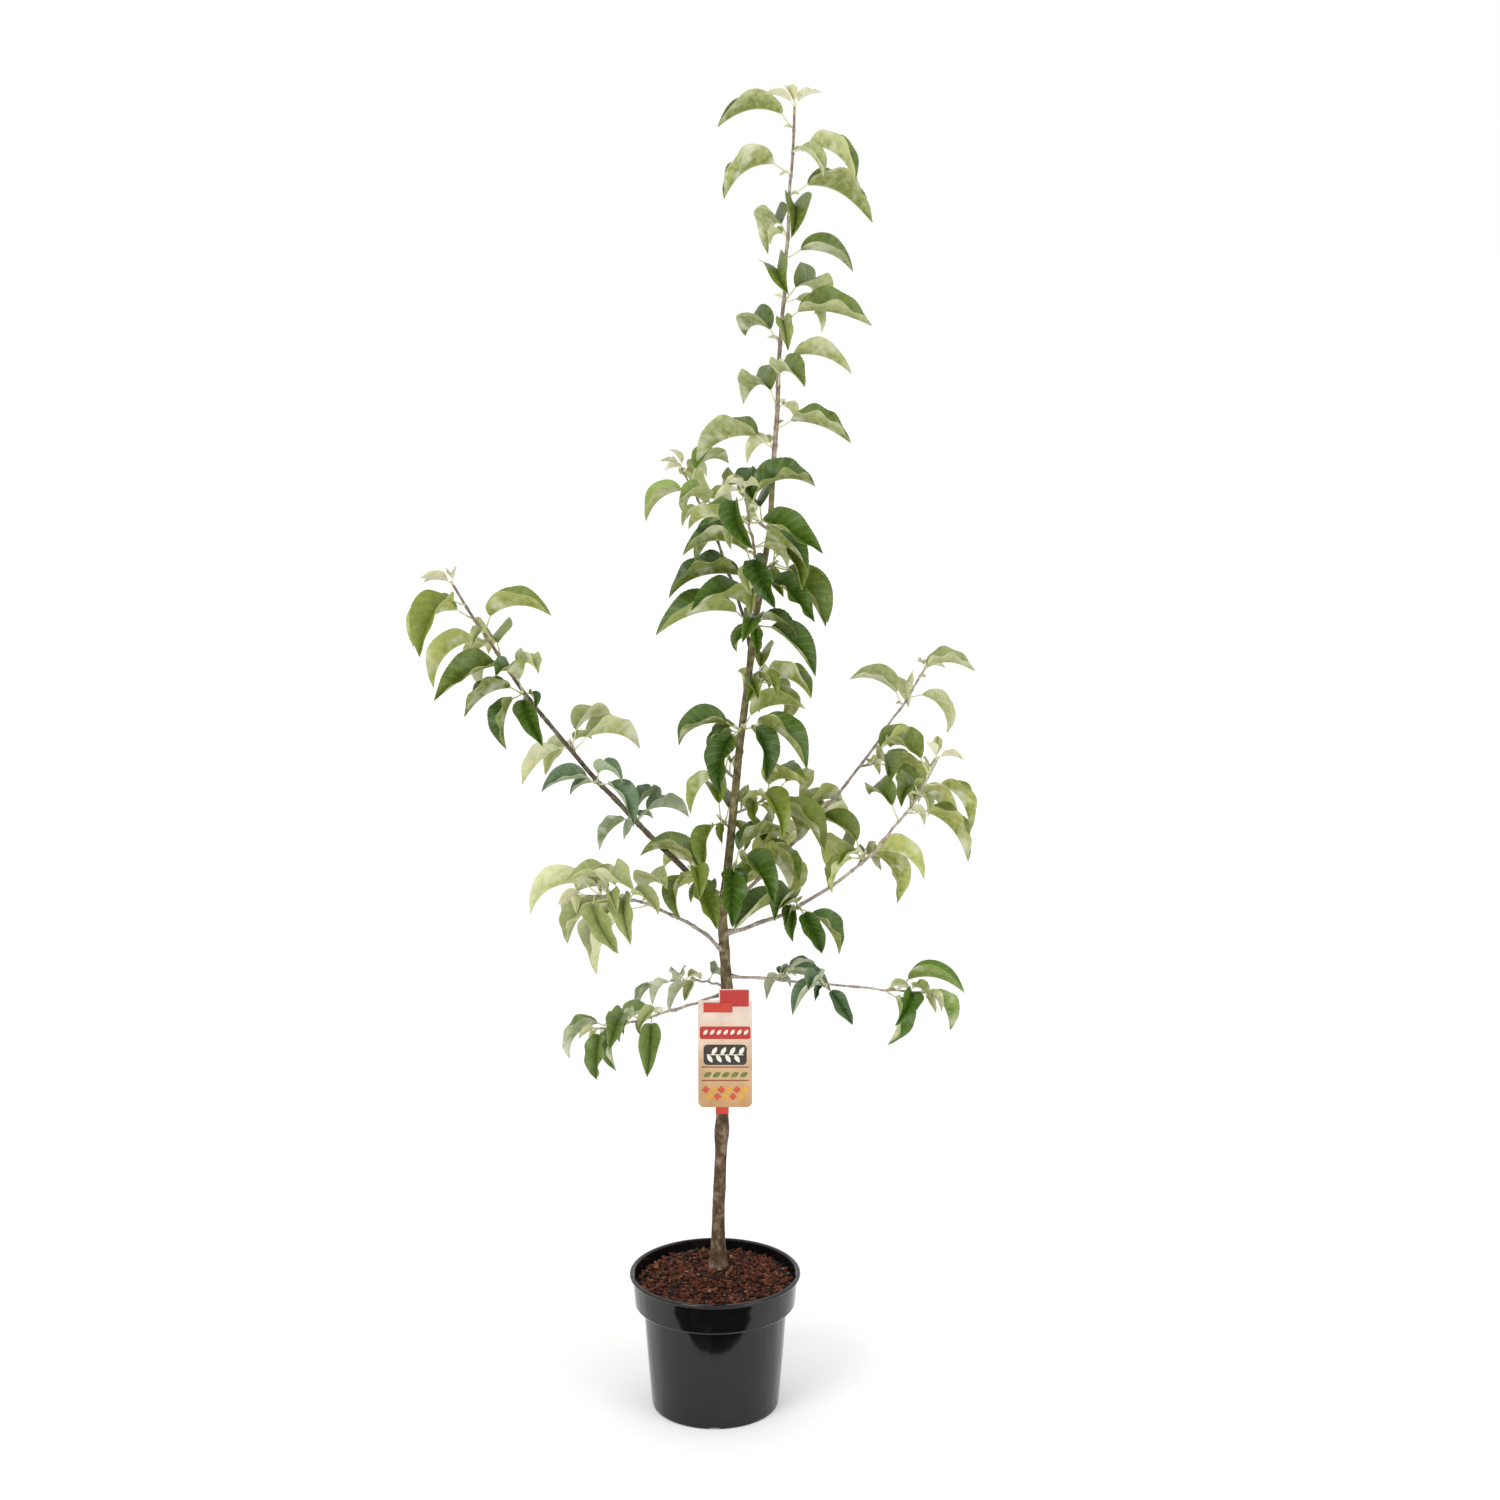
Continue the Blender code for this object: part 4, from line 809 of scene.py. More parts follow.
def leavesAlong(points, growth, shares, shrink):
    r = leafRule
    rng = random.Random(growth.seed)
    leaves = []
    for i in range(growth.leaves):
        part = (i + 0.5) / growth.leaves
        root, *stem = atShare(points, blend(*shares, part))
        angle = math.radians(growth.firstTurn + i * r["turn"] + eitherWay(rng, r["turnSpread"]))
        azimuth, rise = aimOf(stem, angle, math.radians(r["spread"] + eitherWay(rng, r["leanSpread"])))
        size = 1 + eitherWay(rng, r["sizeSpread"])
        leaves.append(Leaf(
            "grown", root, azimuth, min(max(rise, r["lowestRise"]), r["highestRise"]),
            growth.leafLength * (1 - shrink * part ** 2) * size, r["droop"] + eitherWay(rng, r["droopSpread"]),
            eitherWay(rng, r["rollSpread"]), eitherWay(rng, r["sweepSpread"])))
    return leaves


def youngLeaves(points, growth):
    # the tuft at a shoot's tip
    r = leafRule
    rng = random.Random(growth.seed)
    tip, *stem = atShare(points, 1.0)
    leaves = []
    for i in range(r["youngLeaves"]):
        angle = math.radians(i * r["turn"] + rng.uniform(0, r["youngTurnSpread"]))
        azimuth, rise = aimOf(stem, angle, math.radians(rng.uniform(*r["youngLean"])))
        leaves.append(Leaf("young", tip - stem[0] * r["youngSetback"], azimuth, rise,
                           growth.leafLength * r["youngShare"], rng.uniform(*r["youngDroop"]),
                           eitherWay(rng, r["rollSpread"])))
    return leaves


def smallLeaves(points, growth, grown, isSpur, rng):
    r = smallLeafRule
    if isSpur:
        spots = [(atShare(points, rng.uniform(*r["spurShares"]))[0], rng.uniform(0, 360))
                 for _ in range(r["perSpur"])]
    else:
        spots = [(leaf.root, leaf.azimuth + rng.choice((-1, 1)) * rng.uniform(*r["turn"]))
                 for leaf in grown if leaf.kind == "grown" and rng.random() < r["axilChance"]]
    return [Leaf(
        kind="small", root=root, tint=rng.random(), azimuth=azimuth, rise=rng.uniform(*r["rise"]),
        length=growth.leafLength * rng.uniform(*r["sizeShare"]), droop=rng.uniform(*r["droop"]),
        roll=eitherWay(rng, r["rollSpread"]), sweep=eitherWay(rng, r["sweepSpread"]),
    ) for root, azimuth in spots]


def isWithin(leaf, box):
    low, high = np.array(box)
    points = np.array([row[0] for row in midrib(leaf)])
    inset = smallLeafRule["inset"]
    return bool((points > low + inset).all() and (points < high - inset).all())


def settle(leaf, others, wholes, blades, box=None):
    # turns the leaf aside where it would touch something, as the leaves of the solids are turned. A leaf that
    # has no place, or none inside the box, comes back as None
    for turn, lift in leafRule["tries"]:
        trial = leaf._replace(azimuth=leaf.azimuth + turn, rise=leaf.rise + lift)
        rings, tip = leafShell(trial, leafRule["clearance"])
        whole, blade = searchTree(rings, tip), searchTree(rings[1:], tip)
        if any(whole.overlap(tree) for tree in others) or any(blade.overlap(tree) for tree in blades):
            continue
        if box and not isWithin(trial, box):
            return None
        wholes.append(whole)
        blades.append(blade)
        return trial
    return None


# A living apple leaf has a deep green skin with some gloss above, and is matt, hoary and olive below.
# Each skin has two colours for the top and two for the underside
leafSkins = {
    "deep": (("#2c480a", "#4a6419"), ("#5c6824", "#949d55")),
    "mid": (("#4a5f18", "#76832f"), ("#6f772b", "#aaaf65")),
    "fresh": (("#5a7a20", "#849a42"), ("#7b8a3c", "#b2b977")),
    "grey": (("#375031", "#5d7450"), ("#6d7d55", "#a0ac8c")),
    "dusty": (("#5c7048", "#8c9a74"), ("#879468", "#bac1a4")),
    "high": (("#3e5416", "#6a7b2e"), ("#727a3b", "#b8bd86")),
    "vivid": (("#33540c", "#50701c"), ("#52702a", "#83964c")),
    "low": (("#40591f", "#6c7f40"), ("#758559", "#aab48c")),
    "pale": (("#7c8749", "#a4aa72"), ("#999f62", "#ccce9f")),
    "young": (("#a4a970", "#c6c598"), ("#bdbb95", "#d8d4b8")),
}
leafDetail = {
    "steps": 48, "smallSteps": 20, "across": (0.0, 0.07, 0.27, 0.52, 0.77, 1.0), "creaseDegrees": 55.0,
    "veins": 9.0, "veinSlant": 0.17, "puckerMm": 0.55, "toothMm": 0.5, "toothCut": -0.25, "youngDetail": 0.5,
    "thickMm": 0.34, "marginMm": 0.20, "midribMm": 0.75, "midribTaper": 0.85, "baseWidthMm": 0.7,
    "tipWidthMm": 0.2, "waveSpread": (0.04, 0.17), "waves": (1.5, 3.4), "waveShift": 1.3,
    "foldAtMidrib": 1.16, "foldAtMargin": 0.80, "foldSpread": (0.86, 1.06), "twistDegrees": 24.0,
    "tipCurl": (-0.06, 0.05), "curlFrom": 0.55, "youngPetiole": 0.6, "petioleSides": 7, "petioleSag": 0.012,
    "petioleMm": (1.35, 1.1, 0.95, 0.88, 0.85, 0.85, 0.8, 0.6), "petioleEnd": 0.002,
}


def leafSkin(name, colours, underside):
    # veins run from the midrib to the margin every 8 to 10 mm, sunk above and raised below
    m, place = newMaterial(name)
    uv = addNode(m, "TexCoord", give="UV")
    along, across = (addNode(m, "SeparateXYZ", {"Vector": uv}, axis) for axis in "XY")
    spray = addNode(m, "Attribute", give="Fac", attribute_name="tint")
    fromMiddle = addNode(m, "Math", {0: across, 1: 0.5}, operation="SUBTRACT")
    fromMidrib = addNode(m, "Math", {0: fromMiddle}, operation="ABSOLUTE")
    slant = -2 * leafDetail["veinSlant"]
    slanted = addNode(m, "Math", {0: fromMidrib, 1: slant, 2: along}, operation="MULTIPLY_ADD")
    count = addNode(m, "Math", {0: slanted, 1: leafDetail["veins"]}, operation="MULTIPLY")
    near = addNode(m, "Math", {0: count, 1: 0.5}, operation="PINGPONG")
    vein = addNode(m, "MapRange", {"Value": near, "From Min": 0.02, "From Max": 0.12,
                                   "To Min": 0.5, "To Max": 0.0})
    rib = addNode(m, "MapRange", {"Value": fromMidrib, "From Min": 0.008, "From Max": 0.03,
                                  "To Min": 1.0, "To Max": 0.0})
    lines = addNode(m, "Math", {0: vein, 1: rib}, operation="MAXIMUM")
    mottle = addNode(m, "TexNoise", {"Vector": place, "Scale": 1000 / 7, "Detail": 4.0})  # patches 7 mm wide
    shade = addNode(m, "Math", {0: spray, 1: 0.5, 2: mottle}, operation="MULTIPLY_ADD")
    if underside:  # olive along the midrib and paler out to the margin
        shade = addNode(m, "Math", {0: fromMidrib, 1: 0.9, 2: shade}, operation="MULTIPLY_ADD")
        shade = addNode(m, "Math", {0: shade, 1: 0.2}, operation="SUBTRACT")
    colour = addNode(m, "ValToRGB", {"Fac": shade}, stops=((0.42, colours[0]), (1.0, colours[1])))
    lineShare = addNode(m, "Math", {0: lines, 1: 0.32 if underside else 0.36}, operation="MULTIPLY")
    lineColour = linear("#c6c895" if underside else "#93a855")
    colour = addNode(m, "Mix", {0: lineShare, 6: colour, 7: lineColour}, **colourMix)
    if underside:  # pale down, with a painted sheen in patches 24 mm wide
        cloud = addNode(m, "TexNoise", {"Vector": place, "Scale": 1000 / 24, "Detail": 2.5})
        # how much painted sheen lies on the pale down in each patch
        down = addNode(m, "MapRange", {"Value": cloud, "From Min": 0.5, "From Max": 0.72, "To Max": 0.7})
        colour = addNode(m, "Mix", {0: down, 6: colour, 7: linear("#dcdcc4")}, **colourMix)
    cells = addNode(m, "TexVoronoi", {"Vector": place, "Scale": 1000 / 2.2}, feature="DISTANCE_TO_EDGE")
    net = addNode(m, "MapRange", {"Value": cells, "From Max": 0.12, "To Max": 0.3})  # fine veins 2.2 mm apart
    side = 1.0 if underside else -1.0
    return finish(m, {
        "Base Color": colour,
        "Roughness": 0.6 if underside else 0.36,
        "Specular IOR Level": 0.35 if underside else 0.55,
        "IOR": 1.42,
        "Normal": addNode(m, "Bump", {
            "Height": addNode(m, "Math", {0: lines, 1: side, 2: net}, operation="MULTIPLY_ADD"),
            "Distance": 0.00025, "Strength": 0.8}),
    })


def greenStalk(name, colour):
    # fleshy and downy, so it is pale and has only a soft gleam
    m, place = newMaterial(name)
    patches = addNode(m, "TexNoise", {"Vector": place, "Scale": 1000 / 5, "Detail": 2.0})  # 5 mm long
    return finish(m, {
        "Base Color": addNode(m, "ValToRGB", {"Fac": patches}, stops=((0.35, colour), (0.7, "#d2d2ab"))),
        "Roughness": 0.52,
        "IOR": 1.42,
    })


def leafSheets(leaf, rows, count, rng):
    # the top and the underside of a blade, each a grid of points, and how far across each of its columns is
    d, r = leafDetail, leafRule
    small = d["youngDetail"] if leaf.kind == "young" else 1.0
    u = np.linspace(0, 1, count)
    spine, side, normal = (curveThrough([row[k] for row in rows], count) for k in (0, 2, 3))
    side /= np.linalg.norm(side, axis=1)[:, None]
    normal /= np.linalg.norm(normal, axis=1)[:, None]
    half = leaf.length * r["widthShare"] / 2 * np.array([bladeWidth(x) for x in u])
    half = np.maximum(half, d["baseWidthMm"] / 2000 * (1 - u) + d["tipWidthMm"] / 2000)
    wave, waves, phase = rng.uniform(*d["waveSpread"]), rng.uniform(*d["waves"]), rng.uniform(0, math.tau)
    openness = {-1: rng.uniform(*d["foldSpread"]), 1: rng.uniform(*d["foldSpread"])}
    curl = rng.uniform(*d["tipCurl"]) * leaf.length
    curl = curl * np.maximum(0.0, (u - d["curlFrom"]) / (1 - d["curlFrom"])) ** 2
    spine = spine + normal * curl[:, None]
    twist = np.radians(rng.uniform(-1, 1) * d["twistDegrees"]) * u[:, None]
    side, normal = side * np.cos(twist) + normal * np.sin(twist), normal * np.cos(twist) - side * np.sin(twist)
    tooth = np.where(np.arange(count) % 2 == 1, 1.0, d["toothCut"]) * d["toothMm"] / 1000
    tooth = tooth * small * np.sin(math.pi * u) ** 0.4
    last = len(d["across"]) - 1
    top, under = {}, {}
    for sign in (-1, 1):
        reach = np.zeros((count, 3))
        for k, v in enumerate(d["across"]):
            angle = math.radians(r["fold"] * openness[sign] * blend(d["foldAtMidrib"], d["foldAtMargin"], v))
            way = sign * side * math.cos(angle) + normal * math.sin(angle)
            face = normal * math.cos(angle) - sign * side * math.sin(angle)
            if k:
                reach = reach + way * (half * (v - d["across"][k - 1]))[:, None]
            pucker = np.cos(math.tau * d["veins"] * (u - d["veinSlant"] * v)) * 4 * v * (1 - v)
            lift = d["puckerMm"] / 1000 * small * pucker
            lift = lift + half * wave * np.sin(math.tau * waves * u + phase + d["waveShift"] * sign) * v ** 2
            point = spine + reach + face * lift[:, None] + way * (tooth * (k == last))[:, None]
            thick = blend(d["thickMm"], d["marginMm"], v) / 1000 * small
            if k == 0:  # the midrib stands out below
                ridge = thick + d["midribMm"] / 1000 * (1 - d["midribTaper"] * u) * small
                top[0], under[0] = point, point - normal * ridge[:, None]
            else:
                top[sign * k], under[sign * k] = point, point - face * thick
    columns = range(-last, last + 1)
    sheets = [np.stack([sheet[k] for k in columns], axis=1).reshape(-1, 3) for sheet in (top, under)]
    return sheets, np.array([0.5 + math.copysign(d["across"][abs(k)], k) / 2 for k in columns])


def leafMesh(batch, leaf, rng):
    # a thin closed blade on its petiole
    d = leafDetail
    rows = midrib(leaf)
    count = (d["steps"] if leaf.kind == "grown" else d["smallSteps"]) + 1
    sheets, across = leafSheets(leaf, rows, count, rng)
    width = len(across)
    total = count * width
    uv = np.stack((np.repeat(np.linspace(0, 1, count), width), np.tile(across, count)), axis=1)
    topFaces, underFaces = [], []
    for a in range(0, total - width, width):
        b = a + width
        for k in range(width - 1):
            topFaces.append((a + k, b + k, b + k + 1, a + k + 1))
            underFaces.append((total + a + k, total + a + k + 1, total + b + k + 1, total + b + k))
        underFaces.append((a, total + a, total + b, b))
        underFaces.append((b - 1, b + width - 1, total + b + width - 1, total + b - 1))
    end = total - width
    for k in range(width - 1):
        underFaces.append((k, k + 1, total + k + 1, total + k))
        underFaces.append((end + k, total + end + k, total + end + k + 1, end + k + 1))
    finishes = [0] * len(topFaces) + [1] * len(underFaces)
    addPiece(batch, np.vstack(sheets), topFaces + underFaces, finishes, np.vstack((uv, uv)), leaf.tint)
    joint, tangent, _, normal = rows[0]
    # the petiole sags a little between the twig and the blade
    middle = blend(leaf.root, joint, 0.5) - normal * (d["petioleSag"] * leaf.length)
    stalk = curveThrough([leaf.root, middle, joint, joint + tangent * d["petioleEnd"]], len(d["petioleMm"]))
    widths = np.array(d["petioleMm"]) / 1000 * (d["youngPetiole"] if leaf.kind == "young" else 1.0)
    addRings(batch, tubeRings(stalk, widths, d["petioleSides"]), 2, leaf.tint)


# Downy buds stand in the axils and at the tips, and narrow pale stipules beside some petioles of a shoot
budSize = {
    "lengthMm": (2.6, 4.6), "radiusMm": (0.8, 1.4), "tipLengthMm": 6.5, "tipRadiusMm": 1.7, "sides": 8,
    # rings of a bud: their share of its length, and of its radius
    "shape": ((-0.15, 0.7), (0.1, 0.95), (0.35, 1.0), (0.6, 0.8), (0.82, 0.45), (0.95, 0.15)),
    "lift": 30.0, "upward": 0.6, "offset": 0.0012, "nodeSwell": 0.0005, "nodeSpread": 0.0022,
    "creaseDegrees": 50.0, "stipuleMm": (9.0, 17.0), "stipuleChance": 0.55, "stipuleTurn": (35, 70),
    "stipuleRise": (20, 70), "stipuleDroop": (5, 40), "stipuleRoll": 40,
}


def budMesh(batch, root, way, length, radius):
    along, across = np.transpose(budSize["shape"])
    points = root + np.outer(along * length, way)
    addRings(batch, tubeRings(points, radius * across, budSize["sides"]))


def stipuleOf(leaf, rng):
    s = budSize
    return Leaf(
        kind="young", root=leaf.root, tint=rng.random(),
        azimuth=leaf.azimuth + rng.choice((-1, 1)) * rng.uniform(*s["stipuleTurn"]),
        rise=rng.uniform(*s["stipuleRise"]), length=rng.uniform(*s["stipuleMm"]) / 1000,
        droop=rng.uniform(*s["stipuleDroop"]), roll=eitherWay(rng, s["stipuleRoll"]))


def growthOf(name, points):
    # what a growth bears: its rule, the skin of its leaves and the leaves, and then the limb that carries it
    if name in spurTable:
        spur = spurTable[name]
        leaves = leavesAlong(points, spur.growth, leafRule["spurShares"], leafRule["spurShrink"])
        return spur.growth, spur.skin, leaves, limbSizes.get(spur.on)
    shares, growth, skin = shootTable[name]
    leaves = leavesAlong(points, growth, shares, leafRule["shootShrink"]) + youngLeaves(points, growth)
    return growth, skin, leaves, limbSizes[name.removesuffix("_shoot")]


def makeFoliage(trunk, limbs, obstacles, shoots, barks):
    s = budSize
    paths = dict(shoots)
    shares = np.linspace(0, 1, twigRule["spurSteps"] + 1)
    for name, spur in spurTable.items():
        points = spurPath(spur, trunk if spur.on == "trunk" else limbs[spur.on])
        paths[name] = (points, blend(twigRule["footRadius"], twigRule["tipRadius"], shares))
    twigs = {name: searchTree(tubeRings(*path, twigRule["sides"])) for name, path in paths.items()}
    wholes, blades, grown = ({name: [] for name in paths} for _ in range(3))
    sprays = {name: newBatch() for name in leafSkins}
    stems, buds = newBatch(), newBatch()
    small = 0

    def othersThan(name):
        # all that the leaves of a growth keep clear of, but for its own leaves
        others = list(obstacles)
        for other, twig in twigs.items():
            if other != name:
                others += [twig] + wholes[other]
        return others

    for index, (name, (points, radii)) in enumerate(paths.items()):
        _, skin, leaves, limb = growthOf(name, points)
        others = othersThan(name)
        swells = []
        rng = random.Random(index + 100)
        for leaf in leaves:
            leaf = settle(leaf, others, wholes[name], blades[name])
            if leaf is None:
                continue
            leaf = leaf._replace(tint=rng.random())
            grown[name].append(leaf)
            leafMesh(sprays["young" if leaf.kind == "young" else skin], leaf, rng)
            if leaf.kind == "young":
                continue
            way = unit(heading(leaf.azimuth, leaf.rise + s["lift"]) + np.array((0.0, 0.0, s["upward"])))
            length, radius = (rng.uniform(*s[key]) / 1000 for key in ("lengthMm", "radiusMm"))
            budMesh(buds, leaf.root + way * s["offset"], way, length, radius)
            swells.append((np.linalg.norm(leaf.root - points[0]), s["nodeSwell"], s["nodeSpread"]))
            if name in shootTable and rng.random() < s["stipuleChance"]:
                leafMesh(sprays["young"], stipuleOf(leaf, rng), rng)
        thin = limb.thin if name in shootTable else 1.0
        pale = limb is not None and limb.pale
        barkTube(stems, points, np.array(radii) * thin, "shoot", index, swells, int(pale))
        tip, way, _, _ = atShare(points, 1.0)
        budMesh(buds, tip, way, s["tipLengthMm"] / 1000, s["tipRadiusMm"] / 1000)
    for index, (name, (points, _)) in enumerate(paths.items()):  # the small leaves come when all others hang
        growth, skin, _, _ = growthOf(name, points)
        others = othersThan(name)
        rng = random.Random(index + 300)
        for leaf in smallLeaves(points, growth, grown[name], name in spurTable, rng):
            leaf = settle(leaf, others, wholes[name], blades[name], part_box(name))
            if leaf:
                leafMesh(sprays[skin if name in spurTable else "pale"], leaf, rng)
                small += 1
    skins = [barks["newWood"], barks["paleWood"]]
    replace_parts(makeObject("shootStems", stems, skins, stemLooks["creaseDegrees"]), *paths)
    makeObject("woollyBuds", buds, [greenStalk("budDown", "#b7b088")], s["creaseDegrees"])
    for name, batch in sprays.items():
        top, under = leafSkins[name]
        skins = [leafSkin(name + "LeafTop", top, False), leafSkin(name + "LeafUnder", under, True),
                 greenStalk(name + "Petiole", under[1])]
        makeObject(name + "Leaves", batch, skins, leafDetail["creaseDegrees"])
    print("foliage made,", sum(map(len, grown.values())), "leaves and", small, "small ones")


# The label is a printed card of polypropylene on a strap, with a plain plant-tag design in flat inks
labelSize = {
    "corner": 0.007, "cornerSteps": 10, "tabWidth": 0.040, "tabInset": 0.003, "tabTall": 0.014,
    "tabInk": 0.008, "tabMargin": 0.001, "inkMm": 0.06, "red": "#b4261c", "strap": "#c2331f",
    "creaseDegrees": 30.0,
    "paper": ((0.0, "#b98f60"), (0.38, "#c6a57c"), (0.7, "#d9c4b0"), (1.0, "#dccbc2")),
    # two rows of diamonds, placed by shares of the card's width and by height, in metres
    "diamondRows": 2, "diamonds": 6, "diamondFirst": 0.14, "diamondStep": 0.144, "diamondFoot": 0.0225,
    "diamondDrop": 0.0088, "diamondReach": 0.0050,
}


def printedCard(low, high):
    # smooth and half glossy, and the print under its skin fades from cream to tan
    m, place = newMaterial("printedCard")
    height = addNode(m, "SeparateXYZ", {"Vector": place}, "Z")
    share = addNode(m, "MapRange", {"Value": height, "From Min": low, "From Max": high})
    paper = addNode(m, "ValToRGB", {"Fac": share}, stops=labelSize["paper"])
    clouds = addNode(m, "TexNoise", {"Vector": place, "Scale": 1000 / 16, "Detail": 3.0})  # 16 mm wide
    wash = addNode(m, "ValToRGB", {"Fac": clouds}, stops=((0.3, "#dccfc2"), (0.7, "#ffffff")))
    return finish(m, {
        "Base Color": addNode(m, "Mix", {0: 0.6, 6: paper, 7: wash}, **darken),
        "Roughness": 0.34,
        "IOR": 1.49,
    })


def flatInk(name, colour, roughness=0.34):
    # an even film of ink, slightly worn
    m, place = newMaterial(name)
    spots = addNode(m, "TexNoise", {"Vector": place, "Scale": 1000 / 3, "Detail": 3.0})  # 3 mm wide
    worn = addNode(m, "ValToRGB", {"Fac": spots}, stops=((0.3, "#d8d8d8"), (0.65, "#ffffff")))
    return finish(m, {
        "Base Color": addNode(m, "Mix", {0: 0.7, 6: linear(colour), 7: worn}, **darken),
        "Roughness": roughness,
        "IOR": 1.49,
    })


def roundedBox(left, right, bottom, top, corner, steps=6):
    points = []
    for x, z, turn in ((left + corner, bottom + corner, 180), (right - corner, bottom + corner, 270),
                       (right - corner, top - corner, 0), (left + corner, top - corner, 90)):
        for k in range(steps + 1):
            angle = math.radians(turn + 90 * k / steps)
            points.append((x + corner * math.cos(angle), z + corner * math.sin(angle)))
    return points


def leafOutline(x, z, angle, length, breadth):
    rim = [(t, breadth / 2 * math.sin(math.pi * t) ** 0.8) for t in np.linspace(0, 1, 11)]
    rim += [(t, -w) for t, w in rim[-2:0:-1]]
    c, s = math.cos(math.radians(angle)), math.sin(math.radians(angle))
    return [(x + t * length * c - w * s, z + t * length * s + w * c) for t, w in rim]


def makeLabel():
    s = labelSize
    low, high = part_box("label_card")
    left, right, bottom, front = low.x, high.x, low.z, low.y
    top = high.z - s["tabTall"]
    width = right - left
    tabLeft, tabRight = right - s["tabWidth"], right - s["tabInset"]
    outline = roundedBox(left, right, bottom, top, s["corner"], s["cornerSteps"])
    outline = outline[:2 * (s["cornerSteps"] + 1)] + [(right, top), (tabRight, top), (tabRight, high.z)]
    outline += [(tabLeft, high.z), (tabLeft, top), (left, top)]
    card = addRings(newBatch(), [[(x, y, z) for x, z in outline] for y in (front, high.y)])
    printed = [printedCard(bottom, top)]
    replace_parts(makeObject("labelCard", card, printed, s["creaseDegrees"]), "label_card")

    def bar(inset, foot, head, corner):
        return [roundedBox(left + inset, right - inset, bottom + foot, bottom + head, corner)]

    def leafRow(count, first, step, z, leans, length, breadth):
        # first and step are shares of the card's width, and the leaves take the leans by turns
        spots = [(left + width * (first + step * k), leans[k % len(leans)]) for k in range(count)]
        return [leafOutline(x, bottom + z, lean, length, breadth) for x, lean in spots]

    def diamonds(odd):
        reach = s["diamondReach"]
        spots = [(left + width * (s["diamondFirst"] + s["diamondStep"] * (k + 0.5 * row)),
                  bottom + s["diamondFoot"] - s["diamondDrop"] * row)
                 for row in range(s["diamondRows"]) for k in range(s["diamonds"] - row)
                 if (k + row) % 2 == odd]
        return [[(x - reach, z), (x, z - reach), (x + reach, z), (x, z + reach)] for x, z in spots]

    margin, foot = s["tabMargin"], top - s["tabInk"]
    tab = [(tabLeft + margin, foot), (tabRight - margin, foot), (tabRight - margin, high.z - margin),
           (tabLeft + margin, high.z - margin)]
    inks = {  # each ink has its colour, its place in the printing order and its shapes
        "redInk": (s["red"], 1, [tab] + bar(0.002, 0.087, 0.103, 0.003)),
        "charcoalInk": ("#2c2724", 1, bar(0.10 * width, 0.054, 0.080, 0.005)),
        "creamInk": ("#e9e0d0", 2,  # a sprig on the charcoal, and a row of little leaves along the red band
                     leafRow(8, 0.17, 0.084, 0.067, (-58, 58), 0.0115, 0.0052)
                     + bar(0.16 * width, 0.0665, 0.0675, 0.0004)
                     + leafRow(7, 0.10, 0.125, 0.0925, (52,), 0.008, 0.0042)),
        "greenInk": ("#66722f", 1, leafRow(5, 0.10, 0.168, 0.0390, (28,), 0.0112, 0.0062)),
        "brownInk": ("#7c4c2c", 1, bar(0.06 * width, 0.0505, 0.0521, 0.0006)
                     + bar(0.06 * width, 0.0335, 0.0351, 0.0006)),
        "goldInk": ("#cf9a2e", 1, diamonds(1)),
        "orangeInk": ("#bf4a26", 1, diamonds(0)),
    }
    for name, (colour, order, shapes) in inks.items():
        film = newBatch()
        levels = (front - s["inkMm"] * order / 1000, front + s["inkMm"] / 2000)
        for shape in shapes:
            addRings(film, [[(x, y, z) for x, z in shape] for y in levels])
        title = "label" + name[0].upper() + name[1:]
        makeObject(title, film, [flatInk(name, colour)], s["creaseDegrees"])
    for name in ("label_strap", "label_tail"):
        coats = cadNodes[name].data.materials
        coats.clear()
        coats.append(flatInk(name.removeprefix("label_") + "Polypropylene", s["strap"], 0.4))
    print("label made")


# A white studio: even light from all round, two large lamps, and a dark card that only the pot's gloss sees
studio = {
    "white": 1.0, "floorReach": 60.0, "glow": (0.06, 0.22), "glowPlace": (0.5, 3.0), "cardHeight": 0.002,
    # lamps: place, the point that it faces, size in metres and power in watts
    "lamps": {"keyLamp": ((-1.9, -2.4, 3.1), (0.0, 0.0, 0.8), 1.6, 55.0),
              "fillLamp": ((2.3, -1.8, 1.9), (0.0, 0.0, 0.7), 1.8, 26.0)},
    "card": ((-0.26, -0.222), (-0.17, -0.226), (-0.07, -0.240), (0.0, -0.250), (0.06, -0.240), (0.15, -0.226),
             (0.25, -0.222), (0.32, -0.50), (-0.33, -0.50)),
}
cameraSpot = {
    "place": (0.043, -3.0, 1.472), "pitchDegrees": 12.11, "lensMm": 62.5, "sensorMm": 36.0, "reach": 200.0,
}


def stagePlane(name, corners, material):
    piece = meshObject(name, corners, [tuple(range(len(corners)))], [material])
    return piece


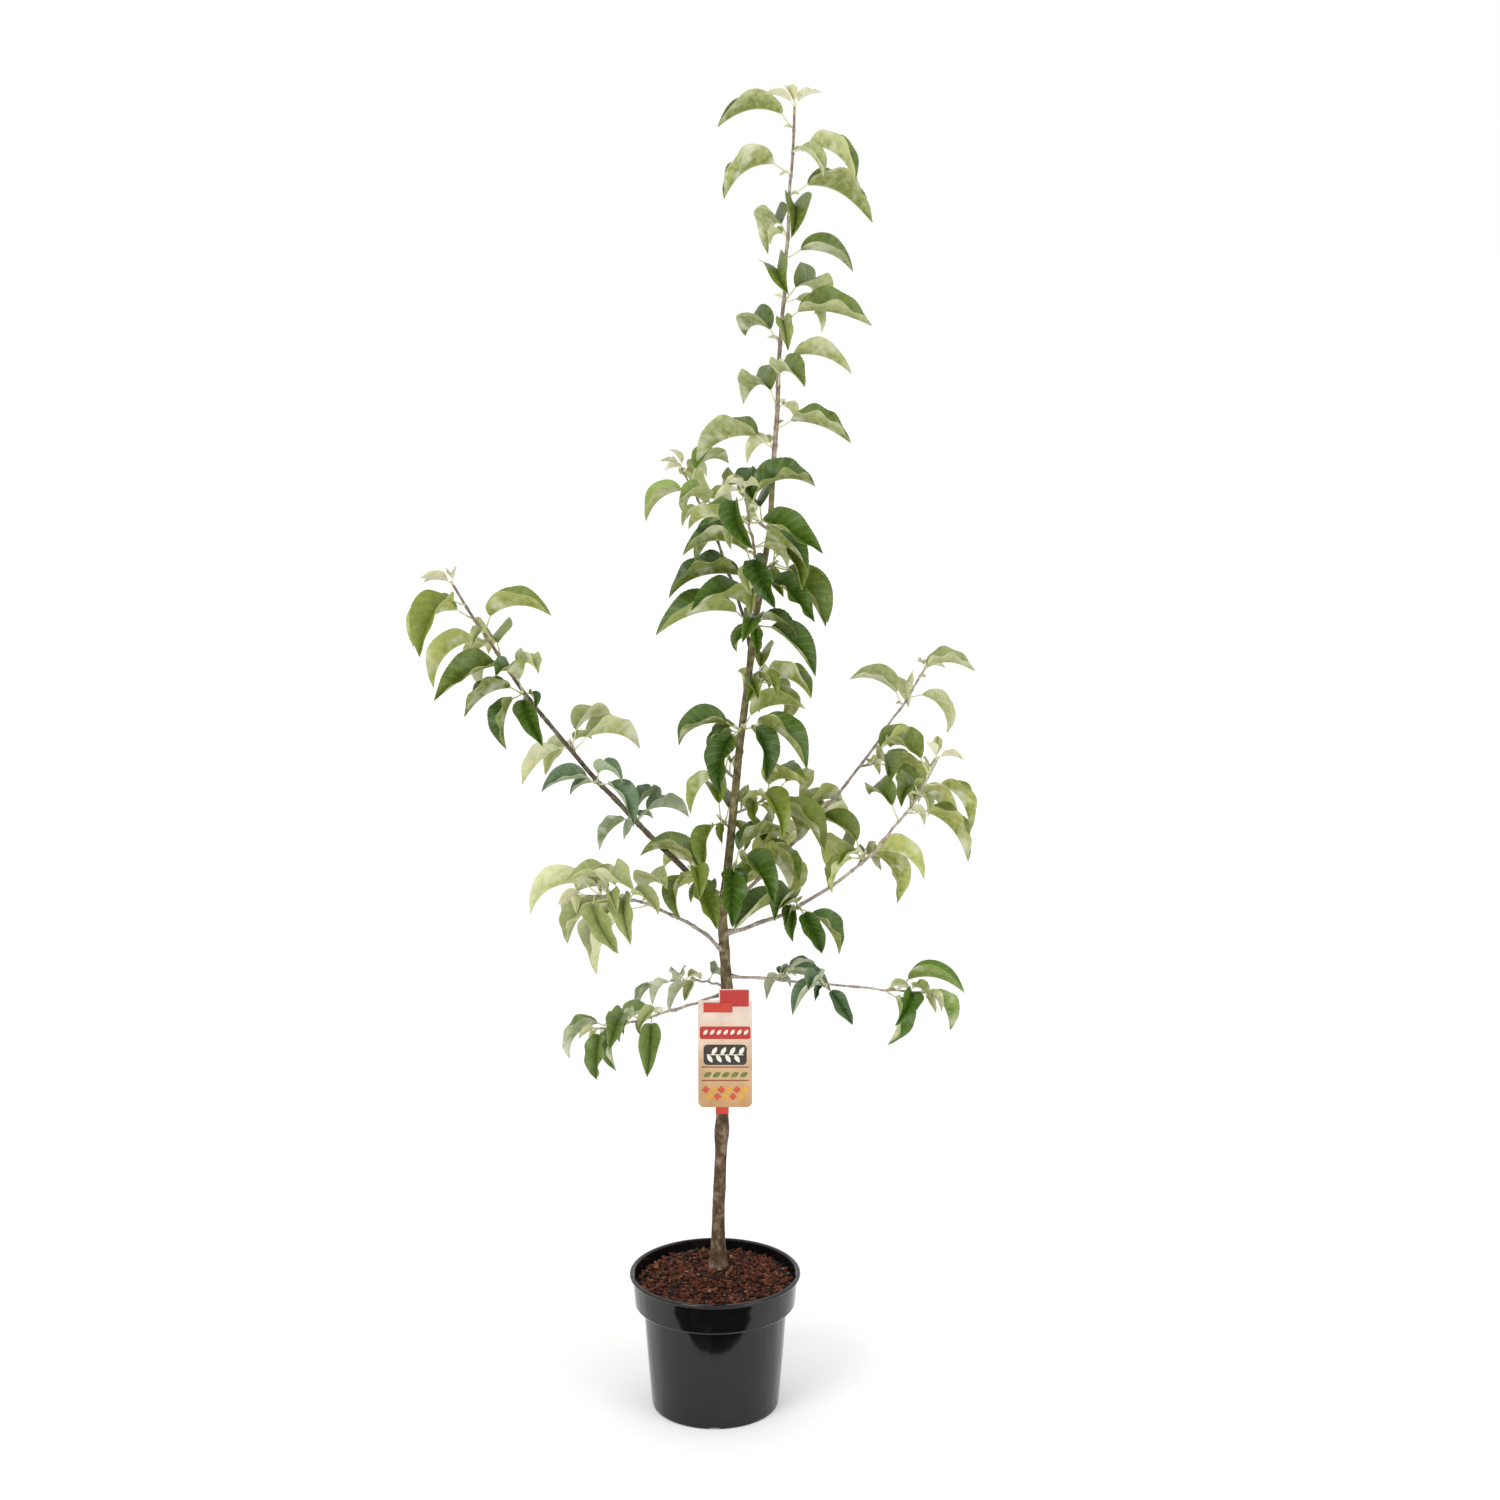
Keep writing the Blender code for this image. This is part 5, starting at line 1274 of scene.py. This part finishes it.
def makeStudio():
    s = studio
    world = bpy.data.worlds.new("studio")
    bpy.context.scene.world = world
    world.use_nodes = True
    white = (1.0, 1.0, 1.0, 1.0)
    plugIn(world, world.node_tree.nodes["Background"], {"Color": white, "Strength": s["white"]})
    m, place = newMaterial("glowingPaperFloor")  # matt white paper with a painted glow of its own, faint near the pot and stronger towards the background
    away = addNode(m, "VectorMath", {0: place}, "Value", operation="LENGTH")
    (near, far), (dim, bright) = s["glowPlace"], s["glow"]
    glow = addNode(m, "MapRange", {"Value": away, "From Min": near, "From Max": far,
                                   "To Min": dim, "To Max": bright})
    finish(m, {"Base Color": linear("#efefef"), "Roughness": 0.95, "Specular IOR Level": 0.1,
               "Emission Color": white, "Emission Strength": glow})
    r = s["floorReach"]
    stagePlane("studioFloor", [(-r, -r, 0), (r, -r, 0), (r, r, 0), (-r, r, 0)], m)
    m = bpy.data.materials.new("blackCard")
    m.use_nodes = True
    finish(m, {"Base Color": linear("#0c0c0c"), "Roughness": 0.9, "Specular IOR Level": 0.0})
    card = stagePlane("blackCard", [(x, y, s["cardHeight"]) for x, y in s["card"]], m)
    for sight in ("camera", "diffuse", "shadow"):
        setattr(card, "visible_" + sight, False)
    for name, (place, aim, size, power) in s["lamps"].items():
        light = bpy.data.lights.new(name, "AREA")
        light.size = size
        light.energy = power
        lamp = bpy.data.objects.new(name, light)
        lamp.location = place
        way = unit(np.array(aim) - np.array(place))
        lamp.rotation_euler = (math.acos(-way[2]), 0.0, math.atan2(way[1], way[0]) - math.pi / 2)
        bpy.context.scene.collection.objects.link(lamp)
    bpy.context.scene.view_settings.view_transform = "Standard"
    print("studio made")


def makeCamera():
    s = cameraSpot
    camera = bpy.data.cameras.new("photoCamera")
    camera.lens = s["lensMm"]
    camera.sensor_width = s["sensorMm"]
    camera.clip_end = s["reach"]
    holder = bpy.data.objects.new("photoCamera", camera)
    holder.location = s["place"]
    holder.rotation_euler = (math.radians(90 - s["pitchDegrees"]), 0.0, 0.0)
    bpy.context.scene.collection.objects.link(holder)
    bpy.context.scene.camera = holder
    print("camera set")


makePot()
makeMix()
trunk = trunkPath()
barks = {name: appleBark(name) for name in barkSkins}
makeTrunk(trunk, barks["oldWood"])
limbs, boughShells, shoots = makeBoughs(trunk, barks)
obstacles = [searchTree(trunkRings(trunk))] + boughShells
for labelNode in ("label_card", "label_strap", "label_tail"):
    labelMesh = cadNodes[labelNode].data
    corners = [vertex.co.copy() for vertex in labelMesh.vertices]
    obstacles.append(BVHTree.FromPolygons(corners, [tuple(face.vertices) for face in labelMesh.polygons]))
makeFoliage(trunk, limbs, obstacles, shoots, barks)
makeLabel()
makeStudio()
makeCamera()
